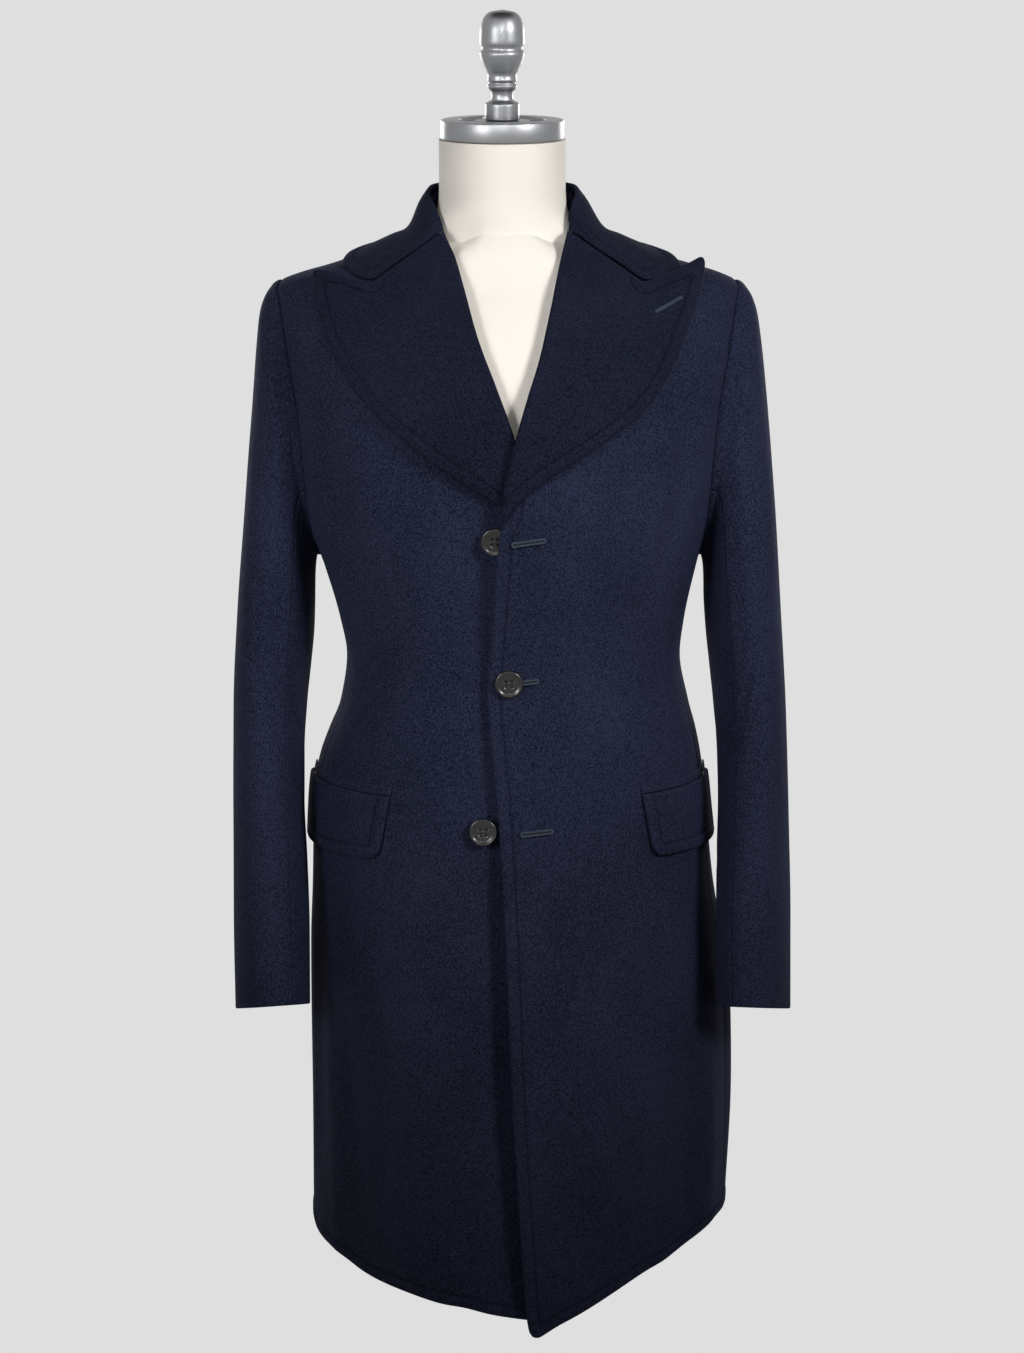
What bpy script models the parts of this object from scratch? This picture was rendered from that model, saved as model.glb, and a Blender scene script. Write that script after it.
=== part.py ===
"""A wool overcoat on a limbless tailor's dress form, in metres, +Z up.

The origin is the centre of the stand's flat underside. -Y is the coat's front, and +X is the
wearer's left. The body of the coat is one closed surface of level sections: a point on it is
named by its turn about the body (0 at the front, 90 at the wearer's left, 180 at the back,
negative towards the wearer's right) and its height. Each panel is a wall between four border
lines drawn on that surface.
"""
import math

import bmesh
import bpy
from mathutils import Vector
from mathutils.bvhtree import BVHTree

# Cloth
WALL = 0.0024            # one layer of the coating
DOUBLE_WALL = 0.0044     # lapels and collar: two layers
LAY = 0.0005             # air between cloth that lies on cloth
SEAM = 0.00017           # each piece stops this far short of its seam

MOST_PULLED = 0.4        # and no further than this share of the way to the next point

# Rows and columns of the cloth's walls
ROWS_BELOW = 15          # rows of the fronts, sides and backs, hem to underarm
ROWS_ABOVE = 10           # rows from the underarm seam to the shoulder
FRONT_COLUMNS = 12
BACK_COLUMNS = 9
SIDE_COLUMNS = 5
NECK_COLUMNS_COUNT = 3   # columns of a front or back that end at the neckline
SIDE_SPREAD = 3          # power by which a side's columns spread towards the armhole
SLEEVE_RINGS = 14
ROW_CROWDING = 1.4       # rows above the underarm draw together towards the shoulder's ridge
PANEL_HOLD = 6.0         # how soon the bend of a panel's hem and shoulder line fades into it

# The body's level sections, as the outer face of the cloth.
BODY_COLUMNS = ("height", "right", "left", "front", "back", "middle", "power")
BODY = (
    (0.000, 0.197, 0.216, -0.172, 0.150, 0.022, 2.10),
    (0.077, 0.196, 0.2175, -0.171, 0.149, 0.022, 2.10),
    (0.200, 0.1945, 0.2215, -0.169, 0.147, 0.021, 2.10),
    (0.293, 0.1940, 0.2190, -0.167, 0.144, 0.020, 2.10),
    (0.360, 0.193, 0.2095, -0.165, 0.141, 0.019, 2.10),
    (0.420, 0.190, 0.199, -0.162, 0.138, 0.017, 2.12),
    (0.490, 0.1875, 0.191, -0.158, 0.133, 0.014, 2.15),
    (0.520, 0.1855, 0.188, -0.155, 0.129, 0.011, 2.15),
    (0.547, 0.1795, 0.184, -0.152, 0.124, 0.008, 2.15),
    (0.571, 0.1705, 0.179, -0.149, 0.117, 0.005, 2.17),
    (0.600, 0.159, 0.171, -0.144, 0.107, 0.002, 2.20),
    (0.648, 0.152, 0.162, -0.140, 0.097, -0.001, 2.20),
    (0.680, 0.157, 0.165, -0.142, 0.097, -0.003, 2.25),
    (0.736, 0.172, 0.176, -0.150, 0.102, -0.005, 2.30),
    (0.772, 0.185, 0.185, -0.154, 0.107, -0.007, 2.30),
    (0.806, 0.1915, 0.1915, -0.157, 0.111, -0.008, 2.30),
    (0.856, 0.1975, 0.1975, -0.159, 0.116, -0.010, 2.30),
    (0.890, 0.202, 0.202, -0.155, 0.117, -0.010, 2.28),
    (0.916, 0.207, 0.207, -0.147, 0.115, -0.010, 2.25),
    (0.942, 0.211, 0.211, -0.136, 0.109, -0.010, 2.20),
    (0.966, 0.213, 0.213, -0.121, 0.099, -0.010, 2.15),
    (0.985, 0.212, 0.212, -0.106, 0.088, -0.010, 2.10),
    (0.993, 0.205, 0.206, -0.099, 0.083, -0.010, 2.08),
    (1.000, 0.187, 0.191, -0.093, 0.079, -0.010, 2.06),
    (1.0075, 0.160, 0.166, -0.086, 0.075, -0.010, 2.04),
    (1.0185, 0.129, 0.127, -0.078, 0.069, -0.010, 2.00),
    (1.030, 0.102, 0.100, -0.070, 0.063, -0.010, 2.00),
    (1.042, 0.078, 0.072, -0.063, 0.058, -0.010, 2.00),
    (1.052, 0.0645, 0.0555, -0.058, 0.054, -0.010, 2.00),
)
NECKLINE = 1.042         # height of the seam that joins the collar to the body
SHOULDER_END = 0.993     # height of the shoulder seam's outer end
SHOULDER_TOP = 1.052

# The armhole is an oval seen from the side.
ARMHOLE_HEIGHT = 0.866
ARMHOLE_HALF_HEIGHT = SHOULDER_END - ARMHOLE_HEIGHT
ARMHOLE_HALF_WIDTH = 0.060
SIDE_SEAM_TURN = 137.0   # where the side seams meet it, round from its top

# Hem heights, by x on each front. The backs and sides end level with the last row.
HEM_COLUMNS = ("across", "height")
HEM_RIGHT = (
    (-0.197, 0.0670), (-0.190, 0.0685), (-0.165, 0.0715), (-0.134, 0.0660), (-0.097, 0.0615),
    (-0.064, 0.0560), (-0.036, 0.0520), (0.018, 0.0400), (0.060, 0.0360),
)
HEM_LEFT = (
    (0.024, 0.0235), (0.034, 0.0285), (0.077, 0.0520), (0.134, 0.0770), (0.172, 0.0870), (0.200, 0.0915),
    (0.212, 0.0870), (0.2175, 0.0800),
)
HEM_BACK = 0.074
HEM_EASE_FROM = 72.0     # turn from which a front's hem eases into the back's

# The fronts' inner borders: the edge up to the break, then the roll line of the lapel.
EDGE_COLUMNS = ("height", "across")
EDGE_LEFT = (
    (0.000, 0.028), (0.045, 0.0175), (0.117, 0.012), (0.234, 0.005), (0.471, -0.005),
    (0.543, -0.010), (0.604, -0.016), (0.634, -0.018), (0.690, -0.014), (0.736, -0.011),
    (0.779, -0.007), (0.792, -0.0055), (0.816, -0.004), (0.849, 0.003), (0.866, 0.007),
    (0.900, 0.017), (0.931, 0.027), (0.9725, 0.037), (1.008, 0.045), (1.046, 0.055),
)
EDGE_RIGHT = (
    (0.000, 0.056), (0.117, 0.046), (0.234, 0.040), (0.471, 0.030), (0.543, 0.025),
    (0.634, 0.020), (0.690, 0.021), (0.770, 0.024), (0.792, 0.022), (0.816, 0.018),
    (0.840, 0.012), (0.865, 0.006), (0.880, 0.001), (0.909, -0.010), (0.947, -0.025),
    (0.990, -0.038), (1.015, -0.046), (1.0385, -0.057), (1.052, -0.060),
)
# How far the left front stands off the body along its edge, where it lies on the right front.
LIFT_COLUMNS = ("height", "lift")
LIFT = (
    (0.000, 0.0034), (0.480, 0.0034), (0.590, 0.0032), (0.6465, 0.0031), (0.690, 0.0042),
    (0.735, 0.0070), (0.775, 0.0084), (0.830, 0.0092), (0.868, 0.0092), (0.905, 0.0040), (0.950, 0.0),
)
HEM_EDGE_HEIGHT = 0.040  # height at which a front's edge is read for the start of its hem
LIFT_FULL = 0.052        # the lift is whole up to this x ...
LIFT_ENDS = 0.125        # ... and gone from here on

# Lapels: outer edge from the break up to the peak's tip, and the top border back to the roll line.
LAPEL_COLUMNS = ("along", "across", "height")
LAPEL_EDGE_LEFT = (
    (0.00, -0.0025, 0.7925), (0.05, 0.012, 0.812), (0.13, 0.0305, 0.828), (0.23, 0.055, 0.844),
    (0.37, 0.087, 0.864), (0.49, 0.114, 0.883), (0.59, 0.133, 0.905), (0.68, 0.144, 0.924),
    (0.78, 0.156, 0.952), (0.85, 0.164, 0.970), (0.93, 0.1735, 0.997), (1.00, 0.1765, 1.0175),
)
LAPEL_EDGE_RIGHT = (
    (0.00, 0.010, 0.7975), (0.05, -0.007, 0.806), (0.17, -0.0385, 0.826), (0.27, -0.063, 0.842),
    (0.38, -0.089, 0.862), (0.50, -0.116, 0.885), (0.60, -0.135, 0.906), (0.71, -0.153, 0.933),
    (0.82, -0.1645, 0.961), (0.91, -0.172, 0.985), (1.00, -0.1745, 1.0055),
)
LAPEL_TOP_LEFT = (
    (0.0, 0.0540, 1.0380), (0.50, 0.1192, 0.9940), (0.75, 0.1500, 1.0050), (1.0, 0.1765, 1.0175),
)
LAPEL_TOP_RIGHT = (
    (0.0, -0.0570, 1.0375), (0.50, -0.1192, 0.9940), (0.75, -0.1500, 1.0015), (1.0, -0.1745, 1.0055),
)
LAPEL_ROLL_BOTTOM = (0.7915, 0.8030)   # height at which each roll line starts, left and right
LAPEL_COLUMNS_COUNT = 8
LAPEL_ROWS = 13
LAPEL_LIES = 0.0009      # air under a lapel
LAPEL_RISES = 0.0016     # more air under it up at the shoulder
LAPEL_RISE_FROM = 0.93   # height where it starts to rise
LAPEL_RISE_OVER = 0.05
LAPEL_WHOLE = 0.50       # share of its height at which the lapel is its full thickness
LAPEL_NECK_SHARE = 0.30  # share of its top border that bends to the roll line's end
LEAST_FACING = 0.55      # keeps what moves straight forward near the body where that turns away
RIDGE_FROM = 0.987       # lowest height of the shoulder's ridge
PEAK_CLEAR = 0.013       # above this far under the shoulder's ridge, a peak lies on a straight slope
PEAK_SLOPE = 0.8

# The collar's fold line, by turn about the neck.
FOLD_COLUMNS = ("turn", "right", "left", "y", "height")
FOLD = (
    (41.0, -0.0575, 0.0550, -0.0530, 1.0430),
    (65.0, -0.0650, 0.0570, -0.0330, 1.0600),
    (90.0, -0.0705, 0.0610, -0.0100, 1.0715),
    (115.0, -0.0688, 0.0600, 0.0120, 1.0775),
    (140.0, -0.0555, 0.0465, 0.0390, 1.0805),
    (160.0, -0.0320, 0.0220, 0.0530, 1.0820),
    (180.0, -0.0050, -0.0050, 0.0580, 1.0825),
)
STAND_STARTS = 56.0      # turn at which the stand is tall enough to show under the fold
STAND_ABOVE_SEAM = 0.0006
STAND_UNDER_FOLD = 0.0082
STAND_INSET = 0.0014     # the stand's top lies this far inside the fold
STAND_ROWS = 3
# The lines across the collar leaf, from its front end (0) to the centre back (1).
LEAF_COLUMNS = ("along", "turn", "height")
LEAF_BASE = (
    (0.0, 42.1, 1.0250), (0.2, 66.5, 1.0328), (0.4, 91.0, 1.0365), (0.7, 136.0, 1.0380), (1.0, 180.0, 1.0390),
)
LEAF_NOTCH = (
    (0.0, 36.8, 0.9960), (0.2, 63.8, 1.0125), (0.4, 91.0, 1.0228), (0.7, 136.0, 1.0280), (1.0, 180.0, 1.0310),
)
LEAF_EDGE = (
    (0.0, 64.2, 1.0063), (0.2, 78.5, 1.0110), (0.4, 95.0, 1.0158), (0.7, 136.5, 1.0210), (1.0, 180.0, 1.0250),
)
LEAF_STEPS = 26
LEAF_LIES = 0.0026       # air under the collar leaf
LEAF_FULLNESS = 0.0035   # how far the leaf's shoulder, under its fold, stands out
LEAF_SHOULDER = 0.30     # share of the way from the fold to the leaf's base where that shoulder is
LEAF_TOP_OUT = 0.002     # the leaf's top stands out this far from the fold line
LEAF_SHOULDER_WALL = 0.8 # share of the leaf's wall that is left there, seen level
LEAF_FRONT = 0.30        # the leaf's front end, as a share, keeps its place seen from the front

# Sleeves: the outer and inner line of each ring seen from the front, and its place from the side.
SLEEVE_COLUMNS = (
    "along", "outer_x", "outer_z", "inner_x", "inner_z", "middle_y", "half_depth", "swing", "rise",
)
SLEEVE_LEFT = (
    (0.05, 0.2155, 0.9885, 0.1805, 0.7385, -0.007, 0.0615, 0.000, 0.000),
    (0.10, 0.2215, 0.9800, 0.1825, 0.7290, -0.007, 0.0630, 0.000, 0.000),
    (0.15, 0.2270, 0.9650, 0.1835, 0.7150, -0.007, 0.0645, 0.000, 0.000),
    (0.20, 0.2310, 0.9420, 0.1840, 0.6980, -0.007, 0.0655, 0.000, 0.000),
    (0.28, 0.2380, 0.8860, 0.1860, 0.6700, -0.007, 0.0660, 0.001, 0.001),
    (0.36, 0.2440, 0.8265, 0.1900, 0.6350, -0.009, 0.0655, 0.002, 0.002),
    (0.44, 0.2490, 0.7720, 0.1940, 0.6000, -0.012, 0.0650, 0.003, 0.004),
    (0.55, 0.2550, 0.6900, 0.1980, 0.5530, -0.018, 0.0640, 0.005, 0.007),
    (0.66, 0.2610, 0.6000, 0.1990, 0.5080, -0.028, 0.0620, 0.007, 0.011),
    (0.78, 0.2645, 0.5000, 0.1975, 0.4550, -0.044, 0.0600, 0.009, 0.015),
    (0.89, 0.2665, 0.4050, 0.1970, 0.3900, -0.062, 0.0580, 0.011, 0.018),
    (1.00, 0.2665, 0.3170, 0.1985, 0.3195, -0.080, 0.0560, 0.012, 0.021),
)
SLEEVE_RIGHT = (
    (0.05, 0.2145, 0.9885, 0.1785, 0.7385, -0.007, 0.0615, 0.000, 0.000),
    (0.10, 0.2205, 0.9800, 0.1800, 0.7290, -0.007, 0.0630, 0.000, 0.000),
    (0.15, 0.2260, 0.9650, 0.1810, 0.7150, -0.007, 0.0645, 0.000, 0.000),
    (0.20, 0.2290, 0.9420, 0.1815, 0.6980, -0.007, 0.0655, 0.000, 0.000),
    (0.28, 0.2345, 0.8860, 0.1825, 0.6700, -0.007, 0.0660, 0.001, 0.001),
    (0.36, 0.2405, 0.8265, 0.1860, 0.6350, -0.009, 0.0655, 0.002, 0.002),
    (0.44, 0.2455, 0.7720, 0.1900, 0.6000, -0.012, 0.0650, 0.003, 0.004),
    (0.55, 0.2530, 0.6900, 0.1930, 0.5530, -0.018, 0.0640, 0.005, 0.007),
    (0.66, 0.2580, 0.6000, 0.1930, 0.5080, -0.028, 0.0620, 0.006, 0.011),
    (0.78, 0.2590, 0.5000, 0.1900, 0.4550, -0.044, 0.0600, 0.007, 0.015),
    (0.89, 0.2590, 0.4050, 0.1875, 0.3900, -0.062, 0.0580, 0.008, 0.018),
    (1.00, 0.2575, 0.3170, 0.1870, 0.3220, -0.080, 0.0560, 0.009, 0.021),
)
SLEEVE_STARTS = 0.0016   # the sleeve's first ring lies this far inside the armhole
SLEEVE_RISES = 0.0008    # and the second one this far outside it
SLEEVE_CLEAR = 0.0006    # both are this much smaller than the armhole
SLEEVE_CROWDING = 1.25   # rings draw together towards the armhole
SLEEVE_SEAM_COLUMNS = (9, 18)   # ring columns of the front and back seams of the sleeve

# Pocket flaps and the jetting above them
FLAP_TURN_END = 88.0
FLAP_FRONT_TOP = {"right": 0.1055, "left": 0.1205}      # x of the flap's upper front corner
FLAP_FRONT_BOTTOM = {"right": 0.1160, "left": 0.1310}
FLAP_TOP = (0.5375, 0.5300)       # height at its front end and at its back end
FLAP_BOTTOM = (0.4790, 0.4650)
FLAP_CORNER = 0.012
FLAP_WALL = 0.0036
FLAP_LENGTH = 0.170
FLAP_HEIGHT = 0.060
FLAP_FLARE = 0.0012      # its lower edge stands off this much more
FLAP_ROWS = 4
FLAP_STOPS = (0.0, 0.02, 0.06, 0.18, 0.32, 0.46, 0.60, 0.74, 0.88, 0.95, 1.0)   # its columns, by share
JETTING_COLUMNS = 9
JETTING_ABOVE_FLAP = 0.0008
JETTING_HEIGHT = 0.008
JETTING_WALL = 0.0014

# Buttons
BUTTON_RADIUS = 0.0125
BUTTON_THICKNESS = 0.0036
BUTTON_PROFILE = (       # shares of the radius and the thickness, from the back's centre to the front's
    (0.00, 0.00), (0.80, 0.00), (1.00, 0.45), (0.96, 0.90), (0.86, 1.00), (0.70, 0.66), (0.00, 0.66),
)
BUTTON_HOLE_SIDES = 6
BUTTON_HOLE_RADIUS = 0.0010
BUTTON_HOLE_SPACING = 0.0021
BUTTON_SIDES = 20
SEAT_STEPS = 12          # a button's seat is felt for at this many points of its back ...
SEAT_SHARE = 0.9         # ... at this share of its radius
BUTTONS = (("top", -0.011, 0.775), ("middle", 0.001, 0.6465), ("bottom", -0.022, 0.513))

# The dress form
FORM_CLEAR_COLUMNS = ("height", "clear")     # the form's face under the coat's outer face
FORM_CLEAR = (
    (0.360, 0.0300), (0.520, 0.0180), (0.648, 0.0085), (0.736, 0.0090), (0.850, 0.0110), (0.930, 0.0080),
    (0.970, 0.0042), (0.985, 0.0034), (1.000, 0.0034), (1.012, 0.0031), (1.022, 0.0042), (1.038, 0.0090),
)
FORM_BOTTOM = 0.360
FORM_TURNS = (0, 15, 30, 44, 56, 67, 76, 83, 90, 97, 104, 113, 124, 136, 150, 165)
FORM_SHOULDER_HOLLOW = 0.0045    # extra room beside the shoulder's ridge, which alone carries the coat
RIDGE_TURN = 2.0         # the hollow begins this many degrees from the ridge ...
HOLLOW_TURN = 20.0       # ... and is whole this many further on
HOLLOW_FROM = 0.90
HOLLOW_OVER = 0.08
FORM_HEIGHTS = (0.360, 0.372, 0.420, 0.480, 0.540, 0.600, 0.650, 0.700, 0.760, 0.820, 0.870, 0.910, 0.940,
                0.963, 0.980, 0.990, 0.997, 1.004, 1.012, 1.021, 1.030, 1.038)
NECK_CENTRE = (-0.005, -0.010)
NECK_RADIUS = 0.057
NECK_TOP = 1.1170
NECK_COLUMNS = ("height", "half_x", "half_y")
NECK = ((1.050, 0.0610, 0.0560), (1.060, 0.0580, 0.0560), (1.072, 0.0572, 0.0568), (1.085, 0.0570, 0.0570))
CAP_TILT = math.radians(5.7)
CAP_RADIUS = 0.0553
CAP_THICKNESS = 0.0170
CAP_RECESS_RADIUS = 0.0390
CAP_INNER_RADIUS = 0.0260
CAP_BEVEL = 0.0010
CAP_GROOVE_DEPTH = 0.0030
CAP_SIDES = 36
KNOB_SIDES = 20
KNOB_COLUMNS = ("radius", "height")
KNOB = (
    (0.0000, 0.0000), (0.0140, 0.0000), (0.0153, 0.0015), (0.0153, 0.0140), (0.0140, 0.0155),
    (0.0104, 0.0175), (0.0096, 0.0220), (0.0104, 0.0255), (0.0125, 0.0275), (0.0133, 0.0300),
    (0.0122, 0.0325), (0.0133, 0.0350), (0.0128, 0.0385), (0.0150, 0.0440), (0.0185, 0.0520),
    (0.0200, 0.0575), (0.0183, 0.0622), (0.0200, 0.0670), (0.0196, 0.0770), (0.0170, 0.0870),
    (0.0110, 0.0930), (0.0000, 0.0950),
)
POLE_RADIUS = 0.016
POLE_SIDES = 16
BASE_RADIUS = 0.070
BASE_SIDES = 36
BASE_PROFILE = (
    (0.000, 0.000), (1.000, 0.000), (1.000, 0.010), (0.960, 0.014), (0.400, 0.018), (0.300, 0.0215),
    (0.000, 0.0215),
)
REST = 0.0003            # gap between faces that rest on each other
HALVINGS = 24            # steps of a search by halves


# Reading the tables

def smooth(places, values, place):
    """Value at a place on a curve through the table's points that never overshoots them."""
    if place <= places[0]:
        return values[0]
    if place >= places[-1]:
        return values[-1]
    i = max(k for k in range(len(places) - 1) if places[k] <= place)
    slopes = [(values[k + 1] - values[k]) / (places[k + 1] - places[k]) for k in range(len(places) - 1)]

    def tangent(k):
        if k == 0:
            return slopes[0]
        if k == len(places) - 1:
            return slopes[-1]
        if slopes[k - 1] * slopes[k] <= 0.0:
            return 0.0
        return 2.0 * slopes[k - 1] * slopes[k] / (slopes[k - 1] + slopes[k])

    width = places[i + 1] - places[i]
    s = (place - places[i]) / width
    return (values[i] * (1 + 2 * s) * (1 - s) ** 2 + tangent(i) * width * s * (1 - s) ** 2
            + values[i + 1] * s * s * (3 - 2 * s) - tangent(i + 1) * width * s * s * (1 - s))


def look_up(table, columns, name, place):
    """One named column of a table at a place along its first column."""
    column = columns.index(name)
    return smooth([row[0] for row in table], [row[column] for row in table], place)


def straight(table, place, column):
    """A column of a table read along straight lines between its rows."""
    for low, high in zip(table, table[1:]):
        if place <= high[0]:
            share = max(0.0, (place - low[0]) / (high[0] - low[0]))
            return low[column] + (high[column] - low[column]) * share
    return table[-1][column]


def ease(share):
    """0 to 1 with flat ends."""
    share = min(1.0, max(0.0, share))
    return share * share * (3.0 - 2.0 * share)


# The body's surface

def section(height):
    return {name: look_up(BODY, BODY_COLUMNS, name, height) for name in BODY_COLUMNS[1:]}


def half_sizes(part, turn_sine, turn_cosine):
    """Half width and half depth of a section on the side that a turn points to."""
    half_width = part["left"] if turn_sine >= 0 else part["right"]
    half_depth = part["middle"] - part["front"] if turn_cosine >= 0 else part["back"] - part["middle"]
    return half_width, half_depth


def outward(point, height):
    """Unit normal of the body's surface at a point on it."""
    def level(x, y, z):
        part = section(z)
        width, depth = half_sizes(part, x, part["middle"] - y)
        return abs(x / width) ** part["power"] + abs((y - part["middle"]) / depth) ** part["power"]
    step = 0.0005
    part = section(height)
    width, depth = half_sizes(part, point.x, part["middle"] - point.y)
    power = part["power"]
    dx = math.copysign(power * abs(point.x / width) ** (power - 1) / width, point.x)
    across = point.y - part["middle"]
    dy = math.copysign(power * abs(across / depth) ** (power - 1) / depth, across)
    dz = (level(point.x, point.y, height + step) - level(point.x, point.y, height - step)) / (2 * step)
    return Vector((dx, dy, dz)).normalized()


def on_body(turn, height, out=0.0):
    """Point at a turn in degrees and a height, moved out along the surface's normal."""
    part = section(height)
    sine, cosine = math.sin(math.radians(turn)), math.cos(math.radians(turn))
    half_width, half_depth = half_sizes(part, sine, cosine)
    reach = (abs(sine) ** part["power"] + abs(cosine) ** part["power"]) ** (-1.0 / part["power"])
    point = Vector((half_width * reach * sine, part["middle"] - half_depth * reach * cosine, height))
    return point + outward(point, height) * out if out else point


def turn_at_x(x, height):
    """Turn of the front point that has this x."""
    part = section(height)
    share = min(1.0, abs(x) / (part["left"] if x >= 0 else part["right"]))
    forward = (1.0 - share ** part["power"]) ** (1.0 / part["power"])
    return math.degrees(math.atan2(math.copysign(share, x), forward))


def turn_at_y(y, height):
    """Turn, from 0 to 180, of the side point that has this y."""
    part = section(height)
    forward = (part["middle"] - y) / half_sizes(part, 1.0, part["middle"] - y)[1]
    share = (1.0 - min(1.0, abs(forward)) ** part["power"]) ** (1.0 / part["power"])
    return math.degrees(math.atan2(share, forward))


def armhole(around, shrink=0.0):
    """Turn and height of the armhole's line, round from its top towards the front."""
    angle = math.radians(around)
    height = ARMHOLE_HEIGHT + (ARMHOLE_HALF_HEIGHT - shrink) * math.cos(angle)
    y = section(height)["middle"] - (ARMHOLE_HALF_WIDTH - shrink) * math.sin(angle)
    return turn_at_y(y, height), height


SEAM_FRONT, UNDERARM = armhole(SIDE_SEAM_TURN)
SEAM_BACK = armhole(360.0 - SIDE_SEAM_TURN)[0]
ARMHOLE_STEPS = (
    [SIDE_SEAM_TURN * (k / ROWS_ABOVE) ** ROW_CROWDING for k in range(ROWS_ABOVE)]
    + [SIDE_SEAM_TURN + (360.0 - 2 * SIDE_SEAM_TURN) * k / SIDE_COLUMNS for k in range(SIDE_COLUMNS)]
    + [360.0 - SIDE_SEAM_TURN * ((ROWS_ABOVE - k) / ROWS_ABOVE) ** ROW_CROWDING for k in range(ROWS_ABOVE)]
)


def hem_of_front(side, x):
    table = HEM_LEFT if side == "left" else HEM_RIGHT
    height = look_up(table, HEM_COLUMNS, "height", x)
    turn = turn_at_x(x, HEM_BACK)
    return height + (HEM_BACK - height) * ease((abs(turn) - HEM_EASE_FROM) / (90.0 - HEM_EASE_FROM))


def lift_at(side, x, height):
    """How far a front stands off the body's surface."""
    if side == "right":
        return 0.0
    fade = 1.0 - ease((x - LIFT_FULL) / (LIFT_ENDS - LIFT_FULL))
    return look_up(LIFT, LIFT_COLUMNS, "lift", height) * fade


# Turning grids of points into closed walls

def pull_in(grid, distance):
    """Moves a grid's border points towards the inside, so that seams keep their gap."""
    rows, columns = len(grid), len(grid[0])
    moved = [list(row) for row in grid]
    for r in range(rows):
        for c in range(columns):
            inner_r = min(max(r, 1), rows - 2)
            inner_c = min(max(c, 1), columns - 2)
            for neighbour in ((inner_r, c), (r, inner_c)):
                if neighbour != (r, c):
                    way = grid[neighbour[0]][neighbour[1]] - grid[r][c]
                    moved[r][c] = moved[r][c] + way.normalized() * min(distance, way.length * MOST_PULLED)
    return moved


def wall_mesh(name, outer, inner):
    """Closed wall between two grids that have the same rows and columns."""
    rows, columns = len(outer), len(outer[0])
    points = [point for grid in (outer, inner) for row in grid for point in row]

    def number(layer, r, c):
        return layer * rows * columns + r * columns + c

    faces = []
    for r in range(rows - 1):
        for c in range(columns - 1):
            corners = ((r, c), (r, c + 1), (r + 1, c + 1), (r + 1, c))
            faces.append([number(0, *corner) for corner in corners])
            faces.append([number(1, *corner) for corner in reversed(corners)])
    rim = [(0, c) for c in range(columns)] + [(r, columns - 1) for r in range(1, rows)]
    rim += [(rows - 1, c) for c in range(columns - 2, -1, -1)] + [(r, 0) for r in range(rows - 2, 0, -1)]
    for k, corner in enumerate(rim):
        following = rim[(k + 1) % len(rim)]
        faces.append([number(0, *following), number(0, *corner), number(1, *corner), number(1, *following)])
    mesh = bpy.data.meshes.new(name)
    mesh.from_pydata([tuple(point) for point in points], [], faces)
    return outward_mesh(mesh)


def outward_mesh(mesh):
    """Points every face of a closed mesh outwards and shades it."""
    work = bmesh.new()
    work.from_mesh(mesh)
    bmesh.ops.recalc_face_normals(work, faces=work.faces)
    work.to_mesh(mesh)
    work.free()
    mesh.shade_smooth()
    mesh.set_sharp_from_angle(angle=math.radians(40))
    return mesh


def add(name, mesh, material, location=(0, 0, 0), rotation=(0, 0, 0)):
    """Places a mesh in the scene as one sub-part."""
    part = bpy.data.objects.new(name, mesh)
    part.data.materials.append(material)
    part.location = location
    part.rotation_euler = rotation
    bpy.context.scene.collection.objects.link(part)
    return part


def add_wall(name, rows, columns, point, material, out=0.0, wall=WALL, seam=SEAM):
    """Wall whose outer face is point(u, v, out) over a grid of rows and columns."""
    def layer(offset):
        grid = [[point(c / columns, r / rows, offset) for c in range(columns + 1)] for r in range(rows + 1)]
        return pull_in(grid, seam)
    return add(name, wall_mesh(name, layer(out), layer(out - wall)), material)


def patch(bottom, top, inner, outer, hold=1.0):
    """Point (u, v) between four border lines that meet at the corners.

    The rows run straight from the inner to the outer border. The bend of the bottom and top
    lines spreads into the patch, and fades sooner with a higher hold.
    """
    def at(u, v):
        low, high, near, far = bottom(u), top(u), inner(v), outer(v)
        ends = [bottom(0.0), bottom(1.0), top(0.0), top(1.0)]
        return tuple(
            (1 - u) * near[k] + u * far[k]
            + (low[k] - (1 - u) * ends[0][k] - u * ends[1][k]) * (1 - v) ** hold
            + (high[k] - (1 - u) * ends[2][k] - u * ends[3][k]) * v ** hold for k in range(2))
    return at


# Materials

def material(name, colour, roughness, metallic=0.0):
    made = bpy.data.materials.new(name)
    made.use_nodes = True
    shader = made.node_tree.nodes["Principled BSDF"]
    shader.inputs["Base Color"].default_value = (*colour, 1.0)
    shader.inputs["Roughness"].default_value = roughness
    shader.inputs["Metallic"].default_value = metallic
    made.diffuse_color = (*colour, 1.0)
    return made


# Fronts, sides and backs

SIGNS = {"right": -1.0, "left": 1.0}
BELOW_SHARE = ROWS_BELOW / (ROWS_BELOW + ROWS_ABOVE)


def rise(v, start, middle, end):
    """Height along a border: from start to middle below the underarm row, then on to end."""
    if v <= BELOW_SHARE:
        return start + (middle - start) * v / BELOW_SHARE
    return middle + (end - middle) * above_share(v)


def above_share(v):
    """Share of the way from the underarm row to the shoulder; the rows crowd towards its ridge."""
    return 1.0 - (1.0 - (v - BELOW_SHARE) / (1.0 - BELOW_SHARE)) ** ROW_CROWDING


def outer_border(v, sign, side_seam, armhole_turn):
    """A front's or a back's border from the hem up its side seam and round the armhole."""
    if v <= BELOW_SHARE:
        low = hem_of_front("left" if sign > 0 else "right", on_body(sign * side_seam, HEM_BACK).x)
        low = low if side_seam < 90.0 else HEM_BACK
        return sign * side_seam, rise(v, low, UNDERARM, UNDERARM)
    share = above_share(v)
    turn, height = armhole(armhole_turn * (1.0 - share) if armhole_turn < 180.0
                           else armhole_turn + (360.0 - armhole_turn) * share)
    return sign * turn, height


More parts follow.
